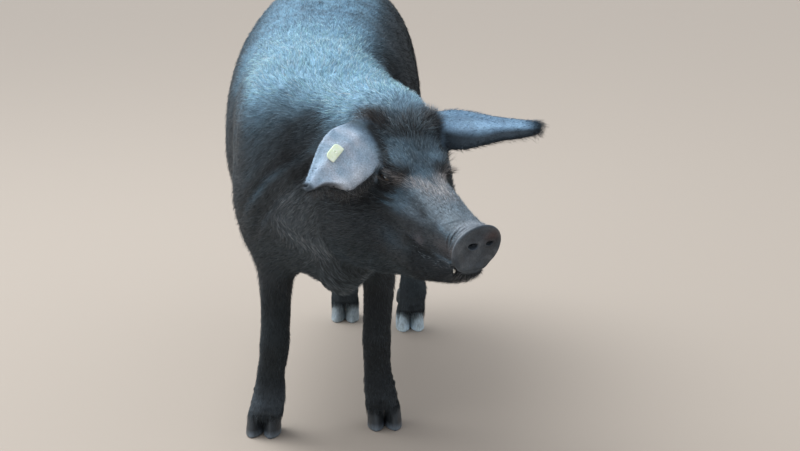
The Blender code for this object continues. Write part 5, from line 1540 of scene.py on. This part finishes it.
def times(nt, colour, fac, amount=1.0):
    """Colour multiplied by another colour."""
    m = nt.nodes.new("ShaderNodeMix")
    m.data_type = "RGBA"
    m.blend_type = "MULTIPLY"
    m.inputs[0].default_value = amount
    nt.links.new(colour, m.inputs[6])
    nt.links.new(fac, m.inputs[7])
    return m.outputs[2]


def bump(nt, bsdf, height, strength, distance, below=None):
    b = nt.nodes.new("ShaderNodeBump")
    b.inputs["Strength"].default_value = strength
    b.inputs["Distance"].default_value = distance
    nt.links.new(height, b.inputs["Height"])
    if below is not None:
        nt.links.new(below.outputs["Normal"], b.inputs["Normal"])
    nt.links.new(b.outputs["Normal"], bsdf.inputs["Normal"])
    return b


def dulled(nt, bsdf, roughness):
    """Roughness that rises where the coat is matt black."""
    dull = nt.nodes.new("ShaderNodeAttribute")
    dull.attribute_name = "dull"
    mx = nt.nodes.new("ShaderNodeMix")
    mx.data_type = "RGBA"
    nt.links.new(dull.outputs["Fac"], mx.inputs[0])
    nt.links.new(roughness, mx.inputs[6])
    mx.inputs[7].default_value = (0.95, 0.95, 0.95, 1)
    nt.links.new(mx.outputs[2], bsdf.inputs["Roughness"])


def hide_material():
    m, nt, bsdf = material("hide")
    pos = nt.nodes.new("ShaderNodeTexCoord").outputs["Object"]
    mark = nt.nodes.new("ShaderNodeVertexColor")
    mark.layer_name = "mark"
    blot = noise(nt, 26.0, 6.0, 0.6, pos)
    fleck = noise(nt, 420.0, 3.0, 0.6, pos)
    c = times(nt, mark.outputs["Color"], ramp(nt, blot.outputs["Fac"], [(0.30, (0.72, 0.74, 0.78)), (0.70, (1.30, 1.26, 1.22))]).outputs["Color"])
    c = times(nt, c, ramp(nt, fleck.outputs["Fac"], [(0.32, grey(0.74)), (0.68, grey(1.24))]).outputs["Color"])
    nt.links.new(c, bsdf.inputs["Base Color"])
    wet = nt.nodes.new("ShaderNodeAttribute")
    wet.attribute_name = "wet"
    dry = ramp(nt, blot.outputs["Fac"], [(0.3, grey(0.50)), (0.7, grey(0.66))])
    mx = nt.nodes.new("ShaderNodeMix")
    mx.data_type = "RGBA"
    nt.links.new(wet.outputs["Fac"], mx.inputs[0])
    nt.links.new(dry.outputs["Color"], mx.inputs[6])
    mx.inputs[7].default_value = (0.36, 0.36, 0.36, 1)
    dulled(nt, bsdf, mx.outputs[2])
    bsdf.inputs["Specular IOR Level"].default_value = 0.34
    bsdf.inputs["Sheen Weight"].default_value = 0.05
    bsdf.inputs["Sheen Roughness"].default_value = 0.5
    bsdf.inputs["Sheen Tint"].default_value = (0.75, 0.88, 1.0, 1)
    cell = nt.nodes.new("ShaderNodeTexVoronoi")
    cell.feature = "DISTANCE_TO_EDGE"
    cell.inputs["Scale"].default_value = 560.0
    nt.links.new(pos, cell.inputs["Vector"])
    edge = ramp(nt, cell.outputs["Distance"], [(0.0, grey(0.0)), (0.30, grey(1.0))])
    b1 = bump(nt, bsdf, edge.outputs["Color"], 0.16, 0.0004)
    b2 = bump(nt, bsdf, fleck.outputs["Fac"], 0.35, 0.0007, b1)
    wave = noise(nt, 85.0, 4.0, 0.55, pos)
    bump(nt, bsdf, wave.outputs["Fac"], 0.35, 0.0022, b2)
    return m


def coat_material():
    m, nt, bsdf = material("coat")
    pos = nt.nodes.new("ShaderNodeTexCoord").outputs["Object"]
    mark = nt.nodes.new("ShaderNodeVertexColor")
    mark.layer_name = "mark"
    var = noise(nt, 190.0, 3.0, 0.6, pos)
    c = times(nt, mark.outputs["Color"], ramp(nt, var.outputs["Fac"], [(0.30, grey(0.70)), (0.70, grey(1.35))]).outputs["Color"])
    nt.links.new(c, bsdf.inputs["Base Color"])
    r = ramp(nt, var.outputs["Fac"], [(0.3, grey(0.28)), (0.7, grey(0.44))])
    dulled(nt, bsdf, r.outputs["Color"])
    bsdf.inputs["Specular IOR Level"].default_value = 0.38
    bsdf.inputs["Sheen Weight"].default_value = 0.07
    bsdf.inputs["Sheen Roughness"].default_value = 0.4
    bsdf.inputs["Sheen Tint"].default_value = (0.62, 0.84, 1.0, 1)
    bump(nt, bsdf, var.outputs["Fac"], 0.15, 0.0004)
    return m


def horn_material():
    m, nt, bsdf = material("horn")
    pos = nt.nodes.new("ShaderNodeTexCoord").outputs["Object"]
    mark = nt.nodes.new("ShaderNodeVertexColor")
    mark.layer_name = "mark"
    st = nt.nodes.new("ShaderNodeMapping")
    st.inputs["Scale"].default_value = (1.0, 1.0, 0.14)
    nt.links.new(pos, st.inputs["Vector"])
    grain = noise(nt, 420.0, 5.0, 0.65, st.outputs["Vector"])
    blot = noise(nt, 60.0, 5.0, 0.6, pos)
    rings_ = nt.nodes.new("ShaderNodeMapping")
    rings_.inputs["Scale"].default_value = (0.10, 0.10, 1.0)
    nt.links.new(pos, rings_.inputs["Vector"])
    ring = noise(nt, 330.0, 3.0, 0.6, rings_.outputs["Vector"])
    c = times(nt, mark.outputs["Color"], ramp(nt, grain.outputs["Fac"], [(0.3, grey(0.70)), (0.7, grey(1.35))]).outputs["Color"])
    c = times(nt, c, ramp(nt, blot.outputs["Fac"], [(0.3, (0.70, 0.68, 0.64)), (0.7, (1.25, 1.25, 1.28))]).outputs["Color"])
    nt.links.new(c, bsdf.inputs["Base Color"])
    r = ramp(nt, blot.outputs["Fac"], [(0.3, grey(0.36)), (0.7, grey(0.62))])
    nt.links.new(r.outputs["Color"], bsdf.inputs["Roughness"])
    b1 = bump(nt, bsdf, grain.outputs["Fac"], 0.35, 0.0006)
    bump(nt, bsdf, ring.outputs["Fac"], 0.40, 0.0012, b1)
    return m


def tag_material():
    m, nt, bsdf = material("tag")
    pos = nt.nodes.new("ShaderNodeTexCoord").outputs["Object"]
    blot = noise(nt, 130.0, 6.0, 0.65, pos)
    fine = noise(nt, 900.0, 3.0, 0.6, pos)
    c = ramp(nt, blot.outputs["Fac"], [(0.26, (0.74, 0.80, 0.50)), (0.50, (0.90, 0.96, 0.72)), (0.75, (0.94, 0.98, 0.80))])
    nt.links.new(c.outputs["Color"], bsdf.inputs["Base Color"])
    r = ramp(nt, blot.outputs["Fac"], [(0.3, grey(0.52)), (0.7, grey(0.36))])
    nt.links.new(r.outputs["Color"], bsdf.inputs["Roughness"])
    bsdf.inputs["Subsurface Weight"].default_value = 0.10
    bsdf.inputs["Subsurface Radius"].default_value = (0.004, 0.003, 0.001)
    bump(nt, bsdf, fine.outputs["Fac"], 0.15, 0.0003)
    return m


def eye_material():
    m, nt, bsdf = material("eye")
    pos = nt.nodes.new("ShaderNodeTexCoord").outputs["Object"]
    mark = nt.nodes.new("ShaderNodeVertexColor")
    mark.layer_name = "mark"
    fine = noise(nt, 700.0, 4.0, 0.6, pos)
    c = times(nt, mark.outputs["Color"], ramp(nt, fine.outputs["Fac"], [(0.3, grey(0.7)), (0.7, grey(1.35))]).outputs["Color"])
    nt.links.new(c, bsdf.inputs["Base Color"])
    r = ramp(nt, fine.outputs["Fac"], [(0.3, grey(0.05)), (0.7, grey(0.12))])
    nt.links.new(r.outputs["Color"], bsdf.inputs["Roughness"])
    bsdf.inputs["Coat Weight"].default_value = 1.0
    bsdf.inputs["Coat Roughness"].default_value = 0.02
    bump(nt, bsdf, fine.outputs["Fac"], 0.05, 0.0002)
    return m


def tooth_material():
    m, nt, bsdf = material("tooth")
    pos = nt.nodes.new("ShaderNodeTexCoord").outputs["Object"]
    blot = noise(nt, 260.0, 5.0, 0.6, pos)
    c = ramp(nt, blot.outputs["Fac"], [(0.3, (0.40, 0.39, 0.35)), (0.7, (0.60, 0.59, 0.55))])
    nt.links.new(c.outputs["Color"], bsdf.inputs["Base Color"])
    r = ramp(nt, blot.outputs["Fac"], [(0.3, grey(0.40)), (0.7, grey(0.24))])
    nt.links.new(r.outputs["Color"], bsdf.inputs["Roughness"])
    bump(nt, bsdf, blot.outputs["Fac"], 0.2, 0.0004)
    return m


# ---------------------------------------------------------------- small solid pieces
def finish(name, V, F, mat, colours=None, smooth=True):
    """A clean closed mesh from points and faces, with its markings."""
    me = bpy.data.meshes.new(name)
    me.from_pydata([tuple(map(float, v)) for v in V], [], [tuple(int(i) for i in f) for f in F])
    me.update()
    if colours is not None:
        C = np.ones((len(V), 4), np.float32)
        C[:, :3] = colours
        me.color_attributes.new("mark", "FLOAT_COLOR", "POINT").data.foreach_set("color", C.ravel())
    bm = bmesh.new()
    bm.from_mesh(me)
    bmesh.ops.recalc_face_normals(bm, faces=bm.faces)
    if bm.calc_volume(signed=True) < 0:
        bmesh.ops.reverse_faces(bm, faces=bm.faces)
    bm.to_mesh(me)
    bm.free()
    if smooth:
        me.shade_smooth()
    me.materials.append(mat)
    ob = bpy.data.objects.new(name, me)
    bpy.context.scene.collection.objects.link(ob)
    return ob


def skinned(loops, cap_ends=True):
    """Points and faces of a closed solid over loops of equal length, its ends closed by fans."""
    n = len(loops[0])
    V = [p for l in loops for p in l]
    F = []
    for k in range(len(loops) - 1):
        for i in range(n):
            j = (i + 1) % n
            F.append((k * n + i, k * n + j, (k + 1) * n + j, (k + 1) * n + i))
    for base, l, flip in ((0, loops[0], True), ((len(loops) - 1) * n, loops[-1], False)):
        V.append(np.mean(l, axis=0))
        c = len(V) - 1
        for i in range(n):
            j = (i + 1) % n
            F.append((base + j, base + i, c) if flip else (base + i, base + j, c))
    return np.array(V), F


def joined(parts):
    """One list of points and faces from several."""
    V, F, C, at = [], [], [], 0
    for v, f, c in parts:
        V.append(v)
        F += [tuple(i + at for i in g) for g in f]
        C.append(c)
        at += len(v)
    return np.concatenate(V), F, np.concatenate(C)


# ---------------------------------------------------------------- eyes
def eye_piece(s, mat, around=48):
    """An eyeball with its cornea's bulge, brown iris, dark pupil laid level, and the white showing only at its corners."""
    ax = eye_axes(s)
    look = unit(ax[1] + 0.10 * ax[0])
    right = unit(ax[0] - (ax[0] @ look) * look)
    top = np.cross(look, right)
    if top[2] < 0:
        top = -top
    r = EYE_RADIUS - 0.0003
    loops, cols = [], []
    for th in np.radians([176, 165, 150, 130, 110, 92, 76, 64, 55, 48, 44, 41, 38, 34, 29, 24, 19, 14, 9, 4, 1.0]):
        bulge = 0.0009 * soft(th, math.radians(46), math.radians(22))
        ph = np.linspace(0, 2 * math.pi, around, endpoint=False)
        q = (r + bulge) * (math.cos(th) * look[None] + math.sin(th) * (np.cos(ph)[:, None] * right + np.sin(ph)[:, None] * top))
        q = q + EYE_AT[s]
        loops.append(SNOUT + q[:, :1] * HEAD[0] - q[:, 1:2] * HEAD[1] + q[:, 2:] * HEAD[2])
        d = math.degrees(th)
        e = np.hypot(np.cos(ph) * 0.78, np.sin(ph) * 1.15) * d             # a pupil wider than tall
        iris = np.array((0.030, 0.016, 0.009)) * (1 + 0.45 * np.sin(ph * 23) * np.sin(ph * 9 + 1))[:, None]
        c = np.where((e < 16)[:, None], (0.003, 0.003, 0.004), iris)
        c = np.where((d > 36), c * 0.35, c)
        c = np.where((d > 43), np.array((0.060, 0.046, 0.042)) + 0 * c, c)
        c = np.where((d > 66), np.array((0.060, 0.034, 0.030)) + 0 * c, c)
        cols.append(c)
    V, F = skinned(loops)
    C = np.concatenate(cols + [cols[0][:1], cols[-1][:1]])
    ob = finish("eyeball_" + ("left" if s > 0 else "right"), V, F, mat, C)
    return ob


def lash_piece(mat):
    """Lashes along the upper lids, and a few long feelers over the eyes."""
    rng = np.random.default_rng(5)
    roots, dirs, lens, wid, cols = [], [], [], [], []
    for s in (-1, 1):
        ax = eye_axes(s)
        for k in range(46):
            x = -0.0098 + 0.0196 * (k + rng.random() * 0.8) / 46
            kk = max(1 - (x / 0.0108) ** 2, 0)
            y = 0.0040 * kk ** 0.60 + 0.0009
            o = math.sqrt(max((EYE_RADIUS + 0.0012) ** 2 - x * x - y * y, 1e-8))
            roots.append(EYE_AT[s] + x * ax[0] + o * ax[1] + y * ax[2])
            dirs.append(unit(0.25 * (x / 0.010) * ax[0] + 0.95 * ax[1] - 0.45 * ax[2] + 0.15 * rng.normal(size=3)))
            lens.append(0.0125 * (0.75 + 0.5 * rng.random()) * (0.65 + 0.5 * kk))
            wid.append(0.00034)
            cols.append(np.array((0.030, 0.024, 0.022)) if rng.random() < 0.6 else np.array((0.20, 0.17, 0.15)))
        for k in range(26):                                       # brow feelers
            q = np.array([s * (0.046 + 0.012 * rng.random()), 0.200 + 0.030 * rng.random(), 0.0])
            roots.append(np.array([q[0], q[1], 0.052 + 0.010 * rng.random()]))
            dirs.append(unit(np.array([0.5 * s, 0.10, 0.75]) + 0.25 * rng.normal(size=3)))
            lens.append(0.018 * (0.6 + 0.8 * rng.random()))
            wid.append(0.00042)
            cols.append(np.array((0.035, 0.028, 0.026)))
    H = np.array(roots)
    P = SNOUT + H[:, :1] * HEAD[0] - H[:, 1:2] * HEAD[1] + H[:, 2:] * HEAD[2]
    d = np.array(dirs)
    D = d[:, :1] * HEAD[0] - d[:, 1:2] * HEAD[1] + d[:, 2:] * HEAD[2]
    n = slope_of(surface, P)[0]
    P = settle(surface, P, 3, 0.006)
    L = np.array(lens)
    S = np.cross(D, n)
    S /= np.linalg.norm(S, axis=1, keepdims=True)
    NN = np.cross(S, D)
    bend = P + D * (0.5 * L)[:, None]
    tip = P + D * L[:, None] + (0.22 * L)[:, None] * NN
    col = np.array(cols)
    chart, uv = unwrap(P, n)
    ob = hair_piece("lashes", P - 0.0006 * n, bend, tip, np.array(wid), S, NN, col, uv)
    ob.data.materials.append(mat)
    return ob


# ---------------------------------------------------------------- horn claws
def claw_shape(kind, hand, around=44):
    """Loops of one claw from its flat sole up, toes along +y."""
    w, length = {"fore": (0.0325, 0.063), "hind": (0.0305, 0.060)}[kind]
    ph = np.linspace(0, 2 * math.pi, around, endpoint=False)
    c, s = np.cos(ph), np.sin(ph)
    x0 = 0.5 * w * np.sign(c) * np.abs(c) ** 0.85
    y0 = 0.5 * length * np.sign(s) * np.abs(s) ** 0.90
    x0 = x0 * (1 - 0.42 * np.clip(s, 0, 1) ** 2) * np.where(c * hand < 0, 0.92, 1.0)
    x0 = x0 + hand * (0.5 * w * 0.86 + 0.0014)
    cx = x0.mean()
    out = []
    for h, grow in ((0.0, 0.86), (0.012, 0.925), (0.05, 0.972), (0.10, 0.992), (0.20, 0.990), (0.32, 0.980), (0.45, 0.968), (0.58, 0.952), (0.70, 0.938), (0.80, 0.922), (0.90, 0.912), (0.97, 0.895), (1.03, 0.84)):
        ridge = 0.006 * math.sin(h * 26.0) * soft(h, 0.1, 0.3)
        g = grow + ridge
        back = -0.012 * h
        xx = cx + (x0 - cx) * g
        yy = y0 * g + back
        heel = np.clip(-s, 0, 1)
        splay = math.radians(4.0) * hand
        xr = xx * math.cos(splay) + yy * math.sin(splay)
        yr = -xx * math.sin(splay) + yy * math.cos(splay)
        xr = hand * np.maximum(xr * hand, 0.00015)
        zz = h * (CORONET + CORONET_SLOPE * yr) + (0.0006 if h == 0.012 else 0)
        out.append(np.stack([xr, yr, zz], -1))
    return out


def onto_foot(p, foot, yaw):
    f = frame_of(yaw, 0.0)
    q = p[..., 0:1] * f[0][:2] + p[..., 1:2] * f[1][:2]
    return np.concatenate([q + np.asarray(foot), p[..., 2:3]], -1)


def dewclaw_shape(hand, fore, around=20):
    root = np.array([(0.0122 if fore else 0.0145) * hand, -0.0220, 0.0770])
    tip = np.array([(0.0135 if fore else 0.0195) * hand, -0.0420, 0.0450])
    d = unit(tip - root)
    side = unit(np.cross(d, (0, 0, 1.0)))
    other = np.cross(side, d)
    ph = np.linspace(0, 2 * math.pi, around, endpoint=False)
    out = []
    for t, r in ((0.0, 0.0098), (0.15, 0.0099), (0.30, 0.0097), (0.45, 0.0094), (0.58, 0.0088), (0.70, 0.0079), (0.80, 0.0070), (0.88, 0.0060), (0.94, 0.0046), (0.98, 0.0028), (1.0, 0.0012)):
        c = root + t * (tip - root)
        rr = r * (1 + 0.03 * math.sin(t * 40))
        out.append(c + rr * (np.cos(ph)[:, None] * side + 0.8 * np.sin(ph)[:, None] * other))
    return out


def claw_pieces(mat):
    """Per foot one piece of two claws and one of two dewclaws."""
    made = []
    for name, (foot, yaw) in FEET.items():
        fore = name.startswith("fore")
        deep = np.array((0.100, 0.120, 0.140)) if fore else np.array((0.500, 0.610, 0.670)) if name.endswith("left") else np.array((0.300, 0.360, 0.390))
        for kind in ("claw", "dewclaw"):
            parts = []
            for hand in (-1, 1):
                loops = claw_shape(name[:4], hand) if kind == "claw" else dewclaw_shape(hand, fore)
                loops = [onto_foot(l, foot, yaw) for l in loops]
                V, F = skinned(loops)
                h = np.clip(V[:, 2] / 0.040, 0, 1)
                tone = deep if kind == "claw" else deep * (0.8 if fore else 0.35)
                C = tone * ((1.0 + 0.25 * soft(h, 0.25, 0.0) - 0.45 * soft(h, 0.75, 1.0)) * (1 - (0.80 if fore else 0.15) * soft(h, 0.12, 0.34)))[:, None]
                parts.append((V, F, C))
            V, F, C = joined(parts)
            ob = finish("%s_%ss" % (name, kind), V, F, mat, C)
            made.append((ob, ["%s_%s_%s" % (name, kind, side) for side in ("left", "right")]))
    return made


# ---------------------------------------------------------------- ear tag
def tag_pieces(mat):
    """A moulded plate with a pin boss in front of the ear, its stem, and a button behind."""
    P, n, u, v = ear_sheet("right", 61, 41)
    i, j = 37, 16
    at, up = P[i, j], n[i, j]
    h = 0.0044 * (1 - 0.40 * abs(v[i, j]) ** 2) * (1 - 0.30 * u[i, j])
    long = unit(np.array((0.46, 0.78, 0.42)) - (np.array((0.46, 0.78, 0.42)) @ up) * up)
    wide = np.cross(up, long)
    lift = h + 0.0030

    # one long edge of the plate is straight with tight corners, the other is rounded
    FLAT = -1

    def squarish(lx, wx, r, z, seg=9):
        pts = []
        for sx, sy, a0 in ((1, 1, 0), (-1, 1, 90), (-1, -1, 180), (1, -1, 270)):
            for k in range(seg):
                a = math.radians(a0 + 90.0 * k / (seg - 1))
                q = r if sy * FLAT < 0 else 0.26 * r
                pts.append((sx * (lx - q) + q * math.cos(a), sy * (wx - q) + q * math.sin(a)))
        pts = np.array(pts)
        bend = -0.0011 * (pts[:, 0] / 0.0175) ** 2
        return at + up * z + bend[:, None] * up + pts[:, :1] * long + pts[:, 1:] * wide

    def circle(r, z, count=36):
        ph = np.linspace(0, 2 * math.pi, count, endpoint=False) - 0.22
        return at + up * z + r * np.cos(ph)[:, None] * long + r * np.sin(ph)[:, None] * wide

    loops = [circle(0.0021, -h - 0.0030), circle(0.0021, lift), squarish(0.0140, 0.0070, 0.0030, lift), squarish(0.0163, 0.0083, 0.0079, lift + 0.0001),
             squarish(0.0172, 0.0089, 0.0088, lift + 0.0006), squarish(0.0172, 0.0089, 0.0088, lift + 0.0013), squarish(0.0167, 0.0084, 0.0083, lift + 0.0018),
             squarish(0.0150, 0.0070, 0.0065, lift + 0.0020), squarish(0.0110, 0.0058, 0.0040, lift + 0.0020), circle(0.0046, lift + 0.0020), circle(0.0034, lift + 0.00205), circle(0.0029, lift + 0.0024),
             circle(0.0022, lift + 0.0024), circle(0.0017, lift + 0.0018), circle(0.0012, lift + 0.0008)]
    V, F = skinned(loops)
    plate = finish("tag_plate", V, F, mat)
    loops = [circle(0.0060, -h - 0.0060), circle(0.0074, -h - 0.0058), circle(0.0079, -h - 0.0052), circle(0.0079, -h - 0.0042), circle(0.0074, -h - 0.0036), circle(0.0050, -h - 0.0034)]
    V, F = skinned(loops)
    button = finish("tag_button", V, F, mat)
    return plate, button


def tooth_piece(mat):
    """The tip of one lower tusk showing at the lip."""
    root = head_point(0.0200, -0.0250, -0.0500)
    tip = head_point(0.0180, -0.0285, -0.0435)
    loops = []
    d = unit(tip - root)
    s1 = unit(np.cross(d, HEAD[1]))
    s2 = np.cross(d, s1)
    ph = np.linspace(0, 2 * math.pi, 18, endpoint=False)
    for t in np.linspace(0, 1, 9):
        c = root + t * (tip - root) + 0.0012 * math.sin(t * math.pi) * s1
        r = 0.0018 * (1 - t ** 2.2) ** 0.7 + 0.00025
        loops.append(c + r * (np.cos(ph)[:, None] * s1 + 0.8 * np.sin(ph)[:, None] * s2))
    V, F = skinned(loops)
    return finish("tusk_tip", V, F, mat)


# ---------------------------------------------------------------- floor, lights, camera
def stage():
    me = bpy.data.meshes.new("floor")
    r = 60.0
    me.from_pydata([(-r, -r, 0), (r, -r, 0), (r, r, 0), (-r, r, 0)], [], [(0, 1, 2, 3)])
    floor = bpy.data.objects.new("floor", me)
    bpy.context.scene.collection.objects.link(floor)
    m = bpy.data.materials.new("floor_pale")
    m.use_nodes = True
    nt = m.node_tree
    bsdf = nt.nodes["Principled BSDF"]
    bsdf.inputs["Roughness"].default_value = 0.85
    noise = nt.nodes.new("ShaderNodeTexNoise")
    noise.inputs["Scale"].default_value = 3.0
    noise.inputs["Detail"].default_value = 6.0
    ramp = nt.nodes.new("ShaderNodeValToRGB")
    ramp.color_ramp.elements[0].color = (0.430, 0.350, 0.285, 1)
    ramp.color_ramp.elements[1].color = (0.480, 0.392, 0.320, 1)
    nt.links.new(noise.outputs["Fac"], ramp.inputs["Fac"])
    nt.links.new(ramp.outputs["Color"], bsdf.inputs["Base Color"])
    me.materials.append(m)

    world = bpy.data.worlds.new("studio")
    bpy.context.scene.world = world
    world.use_nodes = True
    world.node_tree.nodes["Background"].inputs["Color"].default_value = (0.79, 0.865, 0.95, 1)
    world.node_tree.nodes["Background"].inputs["Strength"].default_value = 0.78

    def area(name, at, to, size, power, colour):
        light = bpy.data.lights.new(name, "AREA")
        light.shape = "DISK"
        light.size = size
        light.energy = power
        light.color = colour
        ob = bpy.data.objects.new(name, light)
        bpy.context.scene.collection.objects.link(ob)
        ob.location = at
        ob.rotation_euler = (Vector(to) - Vector(at)).to_track_quat("-Z", "Y").to_euler()

    light = bpy.data.lights.new("overcast", "SUN")
    light.energy = 2.15
    light.angle = math.radians(64.0)
    light.color = (0.865, 0.945, 1.0)
    ob = bpy.data.objects.new("overcast", light)
    bpy.context.scene.collection.objects.link(ob)
    ob.rotation_euler = Vector((0.55, -0.40, -1.0)).to_track_quat("-Z", "Y").to_euler()
    area("key", (-1.3, 0.9, 3.0), (0, 0, 0.4), 1.6, 45.0, (0.86, 0.94, 1.0))
    area("fill", (-2.6, -3.0, 1.8), (0, 0, 0.4), 2.5, 16.0, (0.93, 0.97, 1.0))

    cam = bpy.data.cameras.new("camera")
    cam.lens = 90.0
    cam.sensor_width = 36.0
    ob = bpy.data.objects.new("camera", cam)
    bpy.context.scene.collection.objects.link(ob)
    ob.location = np.array((0.145, -3.395, 1.301)) + np.array((SHIFT[0], SHIFT[1], 0.0))
    ob.rotation_euler = (math.radians(75.0), 0.0, 0.0)
    bpy.context.scene.camera = ob
    bpy.context.scene.view_settings.view_transform = "Standard"


# ---------------------------------------------------------------- all of it
def build():
    started = time.time()
    skin = make_skin()
    print("skin after %.1f s" % (time.time() - started))
    hide, fur, horn = hide_material(), coat_material(), horn_material()
    coat = dress(skin, COAT_HAIRS, COAT_PIECES)
    print("coat after %.1f s" % (time.time() - started))
    skin.data.materials.append(hide)
    FLESH = ["trunk", "neck", "head", "snout", "tail", "ear_left", "ear_right"] + ["%s_%s_%s" % (l, s, p) for l in ("fore", "hind") for s in ("left", "right") for p in ("upper", "lower")]
    place(skin)
    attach(skin, "root")
    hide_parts(*FLESH)
    for ob in coat:
        ob.data.materials.append(fur)
        place(ob)
        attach(ob, "root")
    for ob, nodes in claw_pieces(horn):
        place(ob)
        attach(ob, "root")
        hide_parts(*nodes)
    glass = eye_material()
    for s, side in ((1, "left"), (-1, "right")):
        ob = place(eye_piece(s, glass))
        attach(ob, "root")
        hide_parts("eye_" + side)
    ob = place(lash_piece(fur))
    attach(ob, "root")
    plastic = tag_material()
    for ob, nodename in zip(tag_pieces(plastic), ("ear_tag_front", "ear_tag_back")):
        place(ob)
        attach(ob, "root")
        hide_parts(nodename)
    ob = place(tooth_piece(tooth_material()))
    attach(ob, "root")
    stage()
    print("done after %.1f s" % (time.time() - started))


COAT_PIECES = 8
COAT_HAIRS = 8 * 18500
build()
